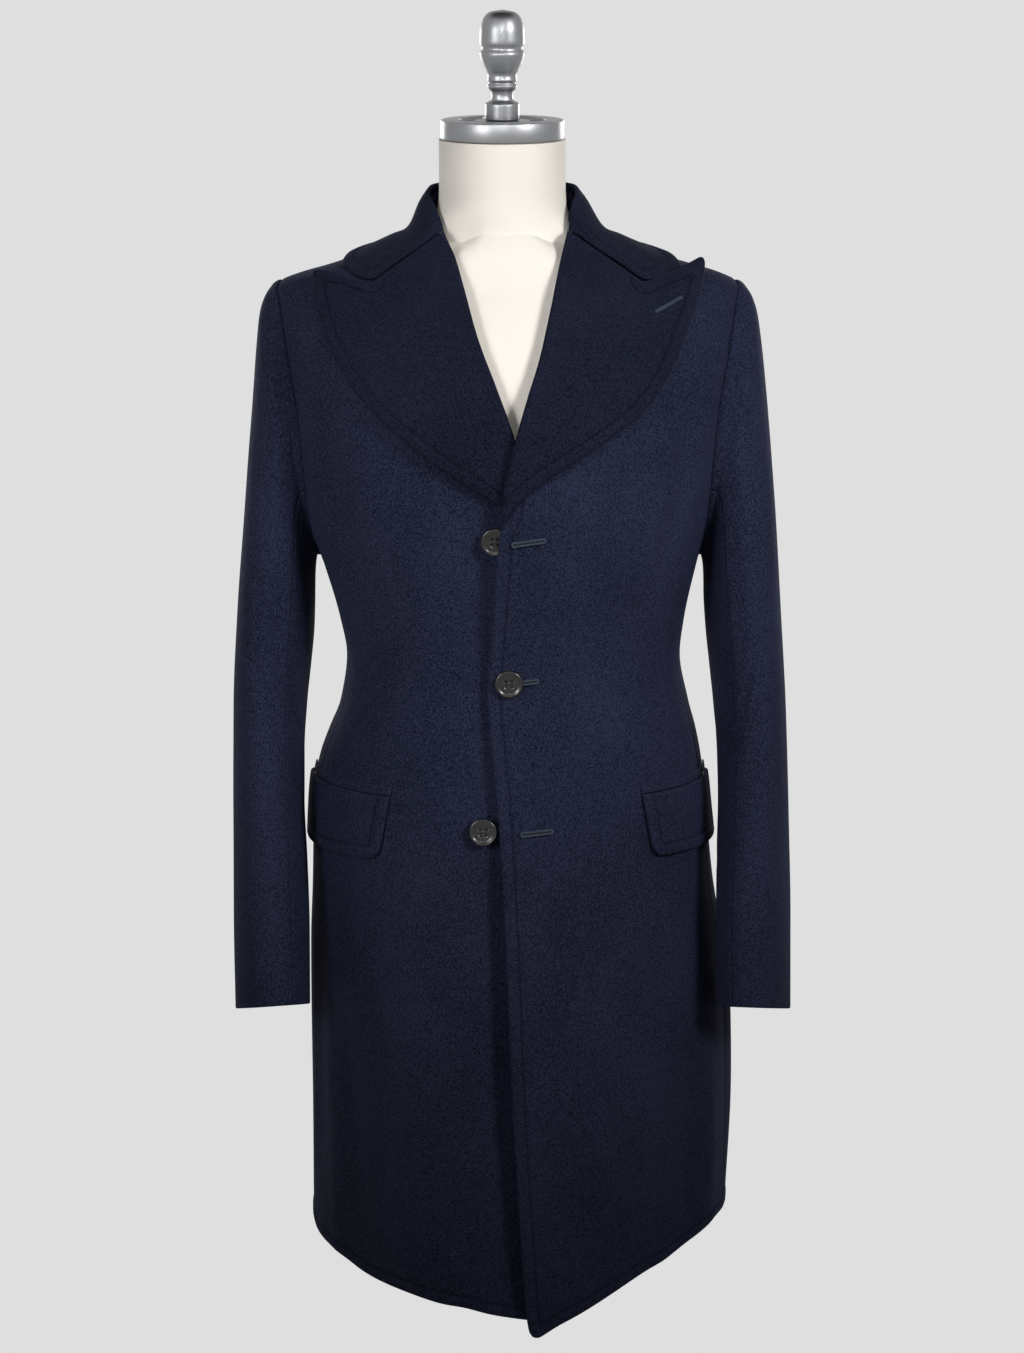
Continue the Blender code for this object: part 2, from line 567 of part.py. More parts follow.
def shoulder_border(u, sign, start_turn, neck_share):
    """The neckline from a turn to the shoulder's ridge, then the ridge out to the armhole."""
    if u <= neck_share:
        return start_turn + (sign * 90.0 - start_turn) * u / neck_share, NECKLINE
    return sign * 90.0, NECKLINE + (SHOULDER_END - NECKLINE) * (u - neck_share) / (1.0 - neck_share)


def edge_x(side, height):
    table = EDGE_LEFT if side == "left" else EDGE_RIGHT
    return look_up(table, EDGE_COLUMNS, "across", height)


def make_front(side, cloth):
    sign = SIGNS[side]
    hem_start = hem_of_front(side, edge_x(side, HEM_EDGE_HEIGHT))

    def inner(v):
        height = rise(v, hem_start, UNDERARM, NECKLINE)
        x = edge_x(side, height) if v > 0 else edge_x(side, hem_start)
        return turn_at_x(x, height), height

    first_turn = inner(0.0)[0]
    neck_turn = inner(1.0)[0]

    def bottom(u):
        turn = first_turn + (sign * SEAM_FRONT - first_turn) * u
        return turn, hem_of_front(side, on_body(turn, HEM_BACK).x)

    def outer(v):
        return outer_border(v, sign, SEAM_FRONT, SIDE_SEAM_TURN)

    def top(u):
        return shoulder_border(u, sign, neck_turn, NECK_COLUMNS_COUNT / FRONT_COLUMNS)

    place = patch(bottom, top, inner, outer, PANEL_HOLD)

    def point(u, v, out):
        turn, height = place(u, v)
        x = on_body(turn, height).x
        return on_body(turn, height, out + lift_at(side, x, height))

    return add_wall("front_" + side, ROWS_BELOW + ROWS_ABOVE, FRONT_COLUMNS, point, cloth)


def make_back(side, cloth):
    sign = SIGNS[side]

    def inner(v):
        return sign * 180.0, rise(v, HEM_BACK, UNDERARM, NECKLINE)

    def bottom(u):
        return sign * (180.0 + (SEAM_BACK - 180.0) * u), HEM_BACK

    def outer(v):
        return outer_border(v, sign, SEAM_BACK, 360.0 - SIDE_SEAM_TURN)

    def top(u):
        return shoulder_border(u, sign, sign * 180.0, NECK_COLUMNS_COUNT / BACK_COLUMNS)

    place = patch(bottom, top, inner, outer, PANEL_HOLD)
    return add_wall("back_" + side, ROWS_BELOW + ROWS_ABOVE, BACK_COLUMNS,
                    lambda u, v, out: on_body(*place(u, v), out), cloth)


def make_side(side, cloth):
    sign = SIGNS[side]
    low = hem_of_front(side, on_body(sign * SEAM_FRONT, HEM_BACK).x)

    def point(u, v, out):
        top_turn, top_height = armhole(SIDE_SEAM_TURN + (360.0 - 2 * SIDE_SEAM_TURN) * u)
        foot_turn = SEAM_FRONT + (SEAM_BACK - SEAM_FRONT) * u
        foot = low + (HEM_BACK - low) * u
        turn = foot_turn + (top_turn - foot_turn) * v ** SIDE_SPREAD
        return on_body(sign * turn, foot + (top_height - foot) * v, out)

    return add_wall("side_" + side, ROWS_BELOW, SIDE_COLUMNS, point, cloth)


# Sleeves

def sleeve_ring(side, along, around):
    """Point of a sleeve's outer face, by share of its length and turn about it."""
    table = SLEEVE_LEFT if side == "left" else SLEEVE_RIGHT
    row = {name: look_up(table, SLEEVE_COLUMNS, name, along) for name in SLEEVE_COLUMNS[1:]}
    angle = math.radians(around)
    outer_share = (1.0 + math.cos(angle)) / 2.0
    forward = math.sin(angle)
    x = row["inner_x"] + (row["outer_x"] - row["inner_x"]) * outer_share - row["swing"] * forward
    z = row["inner_z"] + (row["outer_z"] - row["inner_z"]) * outer_share + row["rise"] * forward
    return Vector((SIGNS[side] * x, row["middle_y"] - row["half_depth"] * forward, z))


def sleeve_grid(side):
    """Rings of a whole sleeve: two at the armhole, then those of its table."""
    sign = SIGNS[side]

    def at_armhole(around, out):
        turn, height = armhole(around, shrink=SLEEVE_CLEAR)
        return on_body(sign * turn, height, out)

    table = SLEEVE_LEFT if side == "left" else SLEEVE_RIGHT
    first = table[0][0]
    grid = [[at_armhole(around, -SLEEVE_STARTS) for around in ARMHOLE_STEPS],
            [at_armhole(around, SLEEVE_RISES) for around in ARMHOLE_STEPS]]
    for k in range(SLEEVE_RINGS):
        along = first + (1.0 - first) * (k / (SLEEVE_RINGS - 1)) ** SLEEVE_CROWDING
        grid.append([sleeve_ring(side, along, around) for around in ARMHOLE_STEPS])
    return grid


def inside_of_tube(grid, wall):
    """The tube's points moved in by the wall along their normals."""
    rows, columns = len(grid), len(grid[0])
    centre = [sum(row, Vector()) / columns for row in grid]
    moved = []
    for r, row in enumerate(grid):
        below, above = grid[max(r - 1, 0)], grid[min(r + 1, rows - 1)]
        line = []
        for c, point in enumerate(row):
            round_way = row[(c + 1) % columns] - row[c - 1]
            normal = round_way.cross(above[c] - below[c]).normalized()
            if normal.dot(point - centre[r]) < 0:
                normal = -normal
            line.append(point - normal * wall)
        moved.append(line)
    return moved


def make_sleeve(side, cloth):
    outer = sleeve_grid(side)
    inner = inside_of_tube(outer, WALL)
    columns = len(ARMHOLE_STEPS)
    front, back = SLEEVE_SEAM_COLUMNS
    cuts = {
        "top_sleeve_": [c % columns for c in range(back, columns + front + 1)],
        "under_sleeve_": list(range(front, back + 1)),
    }
    for name, kept in cuts.items():
        layers = [pull_in([[row[c] for c in kept] for row in grid], 3 * SEAM) for grid in (outer, inner)]
        add(name + side, wall_mesh(name + side, *layers), cloth)


# Lapels and collar

def ridge_height(x):
    """Height of the shoulder's ridge above a point."""
    low, high = RIDGE_FROM, SHOULDER_TOP
    name = "left" if x >= 0 else "right"
    for _ in range(HALVINGS):
        middle = (low + high) / 2.0
        if look_up(BODY, BODY_COLUMNS, name, middle) > abs(x):
            low = middle
        else:
            high = middle
    return low


def on_front(side, x, height, out):
    """Point over a front, moved straight forward so that it keeps its place seen from the front."""
    seated = min(height, ridge_height(x) - PEAK_CLEAR)
    base = on_body(turn_at_x(x, seated), seated)
    normal = outward(base, seated)
    forward = (out + lift_at(side, x, seated)) / max(LEAST_FACING, -normal.y)
    return Vector((x, base.y - forward + (height - seated) * PEAK_SLOPE, height))


def make_lapel(side, cloth):
    edge = LAPEL_EDGE_LEFT if side == "left" else LAPEL_EDGE_RIGHT
    top_line = LAPEL_TOP_LEFT if side == "left" else LAPEL_TOP_RIGHT
    roll_start = LAPEL_ROLL_BOTTOM[0 if side == "left" else 1]
    roll_end = top_line[0][2]

    def inner(v):
        height = roll_start + (roll_end - roll_start) * v
        return edge_x(side, height), height

    def outer(v):
        return tuple(look_up(edge, LAPEL_COLUMNS, name, v) for name in ("across", "height"))

    def bottom(u):
        return tuple(inner(0.0)[k] + (outer(0.0)[k] - inner(0.0)[k]) * u for k in range(2))

    def top(u):
        start = inner(1.0)
        shift = 1.0 - min(1.0, u / LAPEL_NECK_SHARE)
        return (straight(top_line, u, 1) + (start[0] - top_line[0][1]) * shift, straight(top_line, u, 2))

    place = patch(bottom, top, inner, outer)

    def layer(share):
        grid = []
        for r in range(LAPEL_ROWS + 1):
            v = r / LAPEL_ROWS
            wall = WALL + (DOUBLE_WALL - WALL) * ease(v / LAPEL_WHOLE)
            row = []
            for c in range(LAPEL_COLUMNS_COUNT + 1):
                x, height = place(c / LAPEL_COLUMNS_COUNT, v)
                lies = LAPEL_LIES + LAPEL_RISES * ease((height - LAPEL_RISE_FROM) / LAPEL_RISE_OVER)
                row.append(on_front(side, x, height, lies + wall * share))
            grid.append(row)
        return pull_in(grid, 2 * SEAM)

    return add("lapel_" + side, wall_mesh("lapel_" + side, layer(1.0), layer(0.0)), cloth)


def fold_point(turn):
    name = "left" if turn >= 0 else "right"
    return Vector(tuple(look_up(FOLD, FOLD_COLUMNS, column, abs(turn)) for column in (name, "y", "height")))


def round_neck(share):
    """Sign and share to the centre back, for a share from the right front end to the left one."""
    return (-1.0, share * 2.0) if share <= 0.5 else (1.0, (1.0 - share) * 2.0)


def make_collar_stand(cloth):
    def point(u, v, out):
        sign, along = round_neck(u)
        turn = sign * (STAND_STARTS + (180.0 - STAND_STARTS) * along)
        low = on_body(turn, NECKLINE) + Vector((0, 0, STAND_ABOVE_SEAM))
        high = fold_point(turn)
        away = Vector((high.x - NECK_CENTRE[0], high.y - NECK_CENTRE[1], 0)).normalized()
        high = high - Vector((0, 0, STAND_UNDER_FOLD)) - away * STAND_INSET
        return low.lerp(high, v) + away * out
    return add_wall("collar_stand", STAND_ROWS, LEAF_STEPS, point, cloth)


def make_collar_leaf(cloth):
    lines = (LEAF_BASE, LEAF_NOTCH, LEAF_EDGE)

    def on_line(line, sign, along, out):
        turn = look_up(line, LEAF_COLUMNS, "turn", along)
        height = look_up(line, LEAF_COLUMNS, "height", along)
        point = on_body(sign * turn, height)
        normal = outward(point, height)
        forward = Vector((0, -1.0 / max(LEAST_FACING, -normal.y), 0))
        return point + forward.lerp(normal, ease(along / LEAF_FRONT)) * out

    def down(share, out):
        """Points down the leaf: fold, a rounded shoulder, the neck's base, the notch line, the edge."""
        sign, along = round_neck(share)
        turn = sign * (FOLD[0][0] + (180.0 - FOLD[0][0]) * along)
        fold = fold_point(turn)
        away = Vector((fold.x - NECK_CENTRE[0], fold.y - NECK_CENTRE[1], 0)).normalized()
        lies = LEAF_LIES + out
        base, notch, edge = (on_line(line, sign, along, lies + DOUBLE_WALL) for line in lines)
        top = fold + Vector((0, 0, out / 2.0)) + away * (LEAF_TOP_OUT + out)
        rounded = fold.lerp(base, LEAF_SHOULDER) + away * (LEAF_FULLNESS + out * LEAF_SHOULDER_WALL)
        return (top, rounded, base, base.lerp(notch, 0.5), notch, edge)

    def layer(out):
        columns = [down(c / LEAF_STEPS, out) for c in range(LEAF_STEPS + 1)]
        return pull_in([list(row) for row in zip(*columns)], 2 * SEAM)

    return add("collar_leaf", wall_mesh("collar_leaf", layer(0.0), layer(-DOUBLE_WALL)), cloth)


# Pockets

def flap_place(side, u, v):
    """Turn and height on a flap, from its front end and its lower edge."""
    top_x, bottom_x = FLAP_FRONT_TOP[side], FLAP_FRONT_BOTTOM[side]
    sign = SIGNS[side]
    low = FLAP_BOTTOM[0] + (FLAP_BOTTOM[1] - FLAP_BOTTOM[0]) * u
    high = FLAP_TOP[0] + (FLAP_TOP[1] - FLAP_TOP[0]) * u
    height = low + (high - low) * v
    start = turn_at_x(sign * (bottom_x + (top_x - bottom_x) * v), height)
    return start + (sign * FLAP_TURN_END - start) * u, height


def make_flap(side, cloth):
    def rounded(u, v):
        """Lifts the lower corners along an arc."""
        near_end = min(u, 1.0 - u) * FLAP_LENGTH
        if near_end >= FLAP_CORNER:
            return v
        drop = FLAP_CORNER - math.sqrt(FLAP_CORNER ** 2 - (FLAP_CORNER - near_end) ** 2)
        return v + (1.0 - v) * drop / FLAP_HEIGHT

    def layer(out):
        grid = []
        for r in range(FLAP_ROWS + 1):
            share = r / FLAP_ROWS
            grid.append([on_body(*flap_place(side, u, rounded(u, share)), out + FLAP_FLARE * (1 - share))
                         for u in FLAP_STOPS])
        return pull_in(grid, SEAM)

    name = "pocket_flap_" + side
    return add(name, wall_mesh(name, layer(LAY + FLAP_WALL), layer(LAY)), cloth)


def make_jetting(side, cloth):
    def point(u, v, out):
        turn, height = flap_place(side, u, 1.0)
        return on_body(turn, height + JETTING_ABOVE_FLAP + JETTING_HEIGHT * v, out)
    return add_wall("pocket_jetting_" + side, 1, JETTING_COLUMNS, point, cloth,
                    out=REST + JETTING_WALL, wall=JETTING_WALL)


# Turned and small hard pieces

def turned_mesh(name, profile, sides):
    """Solid of revolution about Z; the profile runs from the axis round its outside to the axis."""
    points, faces, rings = [], [], []
    for radius, height in profile:
        if radius == 0.0:
            rings.append([len(points)])
            points.append((0.0, 0.0, height))
            continue
        rings.append(list(range(len(points), len(points) + sides)))
        for k in range(sides):
            angle = math.tau * k / sides
            points.append((radius * math.cos(angle), radius * math.sin(angle), height))
    for low, high in zip(rings, rings[1:]):
        for k in range(sides):
            after = k + 1
            corners = [low[k % len(low)], low[after % len(low)], high[after % len(high)], high[k % len(high)]]
            faces.append(list(dict.fromkeys(corners)))
    mesh = bpy.data.meshes.new(name)
    mesh.from_pydata(points, [], faces)
    return outward_mesh(mesh)


def button_mesh():
    """Four-hole button: a rounded disc with a raised rim, its holes cut by a Boolean."""
    profile = [(out * BUTTON_RADIUS, up * BUTTON_THICKNESS) for out, up in BUTTON_PROFILE]
    disc = turned_mesh("button", profile, BUTTON_SIDES)
    work = bmesh.new()
    for x in (-1, 1):
        for y in (-1, 1):
            made = bmesh.ops.create_cone(
                work, cap_ends=True, segments=BUTTON_HOLE_SIDES, radius1=BUTTON_HOLE_RADIUS,
                radius2=BUTTON_HOLE_RADIUS, depth=3 * BUTTON_THICKNESS)
            bmesh.ops.translate(work, verts=made["verts"],
                                vec=(x * BUTTON_HOLE_SPACING, y * BUTTON_HOLE_SPACING, 0))
    cutters = bpy.data.meshes.new("button_holes")
    work.to_mesh(cutters)
    work.free()
    return disc, cutters


def seat_on(panel, x, height):
    """Lowest seat of a button on a panel's faces, and the way it faces."""
    tree = BVHTree.FromObject(panel, bpy.context.evaluated_depsgraph_get())
    facing = outward(on_body(turn_at_x(x, height), height), height)
    centre = tree.ray_cast(Vector((x, -1.0, height)), Vector((0, 1, 0)))[0]
    highest = 0.0
    for k in range(SEAT_STEPS):
        angle = math.tau * k / SEAT_STEPS
        rim = Vector((math.cos(angle), 0, math.sin(angle))) * BUTTON_RADIUS * SEAT_SHARE
        touched = tree.ray_cast(Vector((x + rim.x, -1.0, height + rim.z)), Vector((0, 1, 0)))[0]
        if touched and abs(touched.y - centre.y) < BUTTON_RADIUS:
            highest = max(highest, (touched - centre).dot(facing))
    return centre + facing * (highest + REST), facing


def make_buttons(horn, fronts):
    disc, holes = button_mesh()
    for name, x, height in BUTTONS:
        seat, facing = seat_on(fronts["left" if name == "middle" else "right"], x, height)
        turning = facing.to_track_quat("Z", "Y").to_euler()
        button = add("button_" + name, disc.copy(), horn, seat, turning)
        cutter = bpy.data.objects.new("holes_" + name, holes)
        cutter.location = seat
        cutter.rotation_euler = turning
        cutter.hide_render = True
        cutter.display_type = "WIRE"
        bpy.context.scene.collection.objects.link(cutter)
        cut = button.modifiers.new("holes", "BOOLEAN")
        cut.operation = "DIFFERENCE"
        cut.object = cutter


# The dress form

def form_clearance(turn, height):
    """Depth of the form's face under the coat's outer face: least along the shoulder's ridge."""
    clear = look_up(FORM_CLEAR, FORM_CLEAR_COLUMNS, "clear", height)
    beside = ease((abs(abs(turn) - 90.0) - RIDGE_TURN) / HOLLOW_TURN)
    return clear + FORM_SHOULDER_HOLLOW * beside * ease((height - HOLLOW_FROM) / HOLLOW_OVER)


def make_torso(canvas):
    """Torso that follows the inside of the coat, with the neck on it, closed at both ends."""
    turns = list(FORM_TURNS) + [180] + [-turn for turn in reversed(FORM_TURNS[1:])]
    sides = len(turns)
    rings = [[on_body(turn, height, -form_clearance(turn, height)) for turn in turns] for height in FORM_HEIGHTS]
    for point in rings[0]:
        point.z = FORM_BOTTOM
    tilt = math.tan(CAP_TILT)
    necks = [(*row, 0.0) for row in NECK] + [(NECK_TOP, NECK_RADIUS, NECK_RADIUS, tilt)]
    for height, half_x, half_y, slope in necks:
        ring = []
        for turn in turns:
            y = -half_y * math.cos(math.radians(turn))
            x = half_x * math.sin(math.radians(turn))
            ring.append(Vector((NECK_CENTRE[0] + x, NECK_CENTRE[1] + y, height + slope * y)))
        rings.append(ring)
    points = [tuple(point) for ring in rings for point in ring]
    faces = [list(range(sides)), list(range(len(points) - sides, len(points)))]
    for r in range(len(rings) - 1):
        for k in range(sides):
            following = (k + 1) % sides
            low, high = r * sides, (r + 1) * sides
            faces.append([low + k, low + following, high + following, high + k])
    mesh = bpy.data.meshes.new("form_torso")
    mesh.from_pydata(points, [], faces)
    return add("form_torso", outward_mesh(mesh), canvas)


def make_neck_metal(metal):
    """Cap disc and turned knob, square to the tilted top of the neck."""
    seat = Vector((NECK_CENTRE[0], NECK_CENTRE[1], NECK_TOP + REST))
    middle = CAP_THICKNESS - CAP_BEVEL
    groove = CAP_THICKNESS - CAP_GROOVE_DEPTH
    cap = (
        (0.0, 0.0), (CAP_RADIUS - CAP_BEVEL, 0.0), (CAP_RADIUS, CAP_BEVEL), (CAP_RADIUS, middle),
        (CAP_RADIUS - CAP_BEVEL, CAP_THICKNESS), (CAP_RECESS_RADIUS, CAP_THICKNESS),
        (CAP_RECESS_RADIUS - CAP_BEVEL, groove), (CAP_INNER_RADIUS, groove),
        (CAP_INNER_RADIUS - CAP_BEVEL, middle), (0.0, middle),
    )
    add("neck_cap", turned_mesh("neck_cap", cap, CAP_SIDES), metal, seat, (CAP_TILT, 0, 0))
    up = Vector((0, -math.sin(CAP_TILT), math.cos(CAP_TILT)))
    knob_seat = seat + up * (middle + REST)
    add("neck_knob", turned_mesh("neck_knob", KNOB, KNOB_SIDES), metal, knob_seat, (CAP_TILT, 0, 0))


def make_stand(metal):
    base = [(radius * BASE_RADIUS, height) for radius, height in BASE_PROFILE]
    add("stand_base", turned_mesh("stand_base", base, BASE_SIDES), metal)
    low, high = BASE_PROFILE[-1][1] + REST, FORM_BOTTOM - REST
    pole = ((0.0, low), (POLE_RADIUS, low), (POLE_RADIUS, high), (0.0, high))
    add("stand_pole", turned_mesh("stand_pole", pole, POLE_SIDES), metal)


def clear_scene():
    for item in list(bpy.data.objects):
        bpy.data.objects.remove(item, do_unlink=True)


def main():
    clear_scene()
    wool = material("navy_wool", (0.012, 0.014, 0.030), 0.95)
    horn = material("dark_horn", (0.018, 0.014, 0.012), 0.35)
    canvas = material("cream_canvas", (0.80, 0.76, 0.68), 0.85)
    metal = material("brushed_metal", (0.55, 0.56, 0.57), 0.32, 1.0)
    fronts = {}
    for side in ("right", "left"):
        fronts[side] = make_front(side, wool)
        make_side(side, wool)
        make_back(side, wool)
        make_sleeve(side, wool)
        make_lapel(side, wool)
        make_flap(side, wool)
        make_jetting(side, wool)
    make_collar_stand(wool)
    make_collar_leaf(wool)
    make_buttons(horn, fronts)
    make_torso(canvas)
    make_neck_metal(metal)
    make_stand(metal)


main()
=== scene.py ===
"""The looks of a wool overcoat on a limbless tailor's dress form, in metres, +Z up.

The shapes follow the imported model: its tables of sizes are repeated here and read more finely.
-Y is the coat's front, and +X is the wearer's left. A point of the coat's body is named by its
turn about the body (0 at the front, 90 at the wearer's left, 180 at the back, negative towards
the wearer's right) and its height. Each piece of cloth is a closed shell with rounded borders.
"""
import math

import bmesh
import bpy
import numpy as np
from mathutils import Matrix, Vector


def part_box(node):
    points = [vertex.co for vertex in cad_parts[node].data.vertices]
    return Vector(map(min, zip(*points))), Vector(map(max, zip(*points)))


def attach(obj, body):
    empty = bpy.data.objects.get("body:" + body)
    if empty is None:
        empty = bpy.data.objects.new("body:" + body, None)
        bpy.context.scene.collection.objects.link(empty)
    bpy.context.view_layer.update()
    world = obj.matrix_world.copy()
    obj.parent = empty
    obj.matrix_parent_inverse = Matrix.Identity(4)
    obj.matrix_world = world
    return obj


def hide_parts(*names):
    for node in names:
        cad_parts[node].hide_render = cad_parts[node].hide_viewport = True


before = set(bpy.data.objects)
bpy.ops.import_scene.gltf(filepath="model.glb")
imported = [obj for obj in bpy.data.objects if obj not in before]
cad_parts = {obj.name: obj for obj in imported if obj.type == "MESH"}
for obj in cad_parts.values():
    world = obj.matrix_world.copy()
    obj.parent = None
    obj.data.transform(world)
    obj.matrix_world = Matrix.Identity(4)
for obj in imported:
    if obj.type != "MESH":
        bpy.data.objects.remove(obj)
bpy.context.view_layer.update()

# Cloth
WALL = 0.0024            # one layer of the coating
DOUBLE_WALL = 0.0036     # lapels and collar: two layers
LAY = 0.0005             # air between cloth that lies on cloth
PANEL_HOLD = 6.0         # how soon the bend of a panel's hem and shoulder line fades into it

# The body's level sections, as the outer face of the cloth.
BODY_COLUMNS = ("height", "right", "left", "front", "back", "middle", "power")
BODY = (
    (0.000, 0.197, 0.216, -0.172, 0.150, 0.022, 2.10),
    (0.077, 0.196, 0.2175, -0.171, 0.149, 0.022, 2.10),
    (0.200, 0.1945, 0.2215, -0.169, 0.147, 0.021, 2.10),
    (0.293, 0.1940, 0.2190, -0.167, 0.144, 0.020, 2.10),
    (0.360, 0.193, 0.2095, -0.165, 0.141, 0.019, 2.10),
    (0.420, 0.190, 0.199, -0.162, 0.138, 0.017, 2.12),
    (0.490, 0.1875, 0.191, -0.158, 0.133, 0.014, 2.15),
    (0.520, 0.1855, 0.188, -0.155, 0.129, 0.011, 2.15),
    (0.547, 0.1795, 0.184, -0.152, 0.124, 0.008, 2.15),
    (0.571, 0.1705, 0.179, -0.149, 0.117, 0.005, 2.17),
    (0.600, 0.159, 0.171, -0.144, 0.107, 0.002, 2.20),
    (0.648, 0.152, 0.162, -0.140, 0.097, -0.001, 2.20),
    (0.680, 0.157, 0.165, -0.142, 0.097, -0.003, 2.25),
    (0.736, 0.172, 0.176, -0.150, 0.102, -0.005, 2.30),
    (0.772, 0.185, 0.185, -0.154, 0.107, -0.007, 2.30),
    (0.806, 0.1915, 0.1915, -0.157, 0.111, -0.008, 2.30),
    (0.856, 0.1975, 0.1975, -0.159, 0.116, -0.010, 2.30),
    (0.890, 0.202, 0.202, -0.155, 0.117, -0.010, 2.28),
    (0.916, 0.207, 0.207, -0.147, 0.115, -0.010, 2.25),
    (0.942, 0.211, 0.211, -0.136, 0.109, -0.010, 2.20),
    (0.966, 0.213, 0.213, -0.121, 0.099, -0.010, 2.15),
    (0.985, 0.212, 0.212, -0.106, 0.088, -0.010, 2.10),
    (0.993, 0.205, 0.206, -0.099, 0.083, -0.010, 2.08),
    (1.000, 0.187, 0.191, -0.093, 0.079, -0.010, 2.06),
    (1.0075, 0.160, 0.166, -0.086, 0.075, -0.010, 2.04),
    (1.0185, 0.129, 0.127, -0.078, 0.069, -0.010, 2.00),
    (1.030, 0.102, 0.100, -0.070, 0.063, -0.010, 2.00),
    (1.042, 0.078, 0.072, -0.063, 0.058, -0.010, 2.00),
    (1.052, 0.0645, 0.0555, -0.058, 0.054, -0.010, 2.00),
)
NECKLINE = 1.042         # height of the seam that joins the collar to the body
SHOULDER_END = 0.993     # height of the shoulder seam's outer end
SHOULDER_TOP = 1.052

# The armhole is an oval seen from the side.
ARMHOLE_HEIGHT = 0.866
ARMHOLE_HALF_HEIGHT = SHOULDER_END - ARMHOLE_HEIGHT
ARMHOLE_HALF_WIDTH = 0.060
SIDE_SEAM_TURN = 137.0   # where the side seams meet it, round from its top

# The hem of each front: x and height. The backs and sides end level at HEM_BACK.
HEM_RIGHT = (
    (-0.197, 0.0670), (-0.190, 0.0685), (-0.165, 0.0715), (-0.134, 0.0660), (-0.097, 0.0615),
    (-0.064, 0.0560), (-0.036, 0.0520), (0.018, 0.0400), (0.060, 0.0360),
)
HEM_LEFT = (
    (0.024, 0.0235), (0.034, 0.0285), (0.077, 0.0520), (0.134, 0.0770), (0.172, 0.0870), (0.200, 0.0915),
    (0.212, 0.0870), (0.2175, 0.0800),
)
HEM_BACK = 0.074
HEM_EASE_FROM = 72.0     # turn from which a front's hem eases into the back's

# The fronts' inner borders, as height and x: the edge up to the break, then the lapel's roll line.
EDGE_LEFT = (
    (0.000, 0.028), (0.045, 0.0175), (0.117, 0.012), (0.234, 0.005), (0.471, -0.005),
    (0.543, -0.010), (0.604, -0.016), (0.634, -0.018), (0.690, -0.014), (0.736, -0.011),
    (0.779, -0.007), (0.792, -0.0055), (0.816, -0.004), (0.849, 0.003), (0.866, 0.007),
    (0.900, 0.017), (0.931, 0.027), (0.9725, 0.037), (1.008, 0.045), (1.046, 0.055),
)
EDGE_RIGHT = (
    (0.000, 0.056), (0.117, 0.046), (0.234, 0.040), (0.471, 0.030), (0.543, 0.025),
    (0.634, 0.020), (0.690, 0.021), (0.770, 0.024), (0.792, 0.022), (0.816, 0.018),
    (0.840, 0.012), (0.865, 0.006), (0.880, 0.001), (0.909, -0.010), (0.947, -0.025),
    (0.990, -0.038), (1.015, -0.046), (1.0385, -0.057), (1.052, -0.060),
)
# How far the left front stands off the body along its edge, by height, where it lies on the right front.
LIFT = (
    (0.000, 0.0034), (0.480, 0.0034), (0.590, 0.0032), (0.6465, 0.0031), (0.690, 0.0042),
    (0.735, 0.0070), (0.775, 0.0084), (0.830, 0.0092), (0.868, 0.0092), (0.905, 0.0040), (0.950, 0.0),
)
HEM_EDGE_HEIGHT = 0.040  # height at which a front's edge is read for the start of its hem
LIFT_FULL = 0.052        # the lift is whole up to this x ...
LIFT_ENDS = 0.125        # ... and gone from here on

# Lapels: outer edge from the break up to the peak's tip, and the top border back to the roll line.
LAPEL_COLUMNS = ("along", "across", "height")
LAPEL_EDGE_LEFT = (
    (0.00, -0.0025, 0.7925), (0.05, 0.012, 0.812), (0.13, 0.0305, 0.828), (0.23, 0.055, 0.844),
    (0.37, 0.087, 0.864), (0.49, 0.114, 0.883), (0.59, 0.133, 0.905), (0.68, 0.144, 0.924),
    (0.78, 0.156, 0.952), (0.85, 0.164, 0.970), (0.93, 0.1735, 0.997), (1.00, 0.1765, 1.0175),
)
LAPEL_EDGE_RIGHT = (
    (0.00, 0.010, 0.7975), (0.05, -0.007, 0.806), (0.17, -0.0385, 0.826), (0.27, -0.063, 0.842),
    (0.38, -0.089, 0.862), (0.50, -0.116, 0.885), (0.60, -0.135, 0.906), (0.71, -0.153, 0.933),
    (0.82, -0.1645, 0.961), (0.91, -0.172, 0.985), (1.00, -0.1745, 1.0055),
)
LAPEL_TOP_LEFT = (
    (0.0, 0.0540, 1.0380), (0.50, 0.1192, 0.9940), (0.75, 0.1500, 1.0050), (1.0, 0.1765, 1.0175),
)
LAPEL_TOP_RIGHT = (
    (0.0, -0.0570, 1.0375), (0.50, -0.1192, 0.9940), (0.75, -0.1500, 1.0015), (1.0, -0.1745, 1.0055),
)
LAPEL_ROLL_BOTTOM = (0.7915, 0.8030)   # height at which each roll line starts, left and right
LAPEL_LIES = 0.0009      # air under a lapel
LAPEL_RISES = 0.0016     # more air under it up at the shoulder
LAPEL_RISE_FROM = 0.93   # height where it starts to rise
LAPEL_RISE_OVER = 0.05
LAPEL_WHOLE = 0.50       # share of its height at which the lapel is its full thickness
LAPEL_NECK_SHARE = 0.30  # share of its top border that bends to the roll line's end
LEAST_FACING = 0.55      # keeps what moves straight forward near the body where that turns away
PEAK_CLEAR = 0.013       # above this far under the shoulder's ridge, a peak lies on a straight slope
PEAK_SLOPE = 0.8

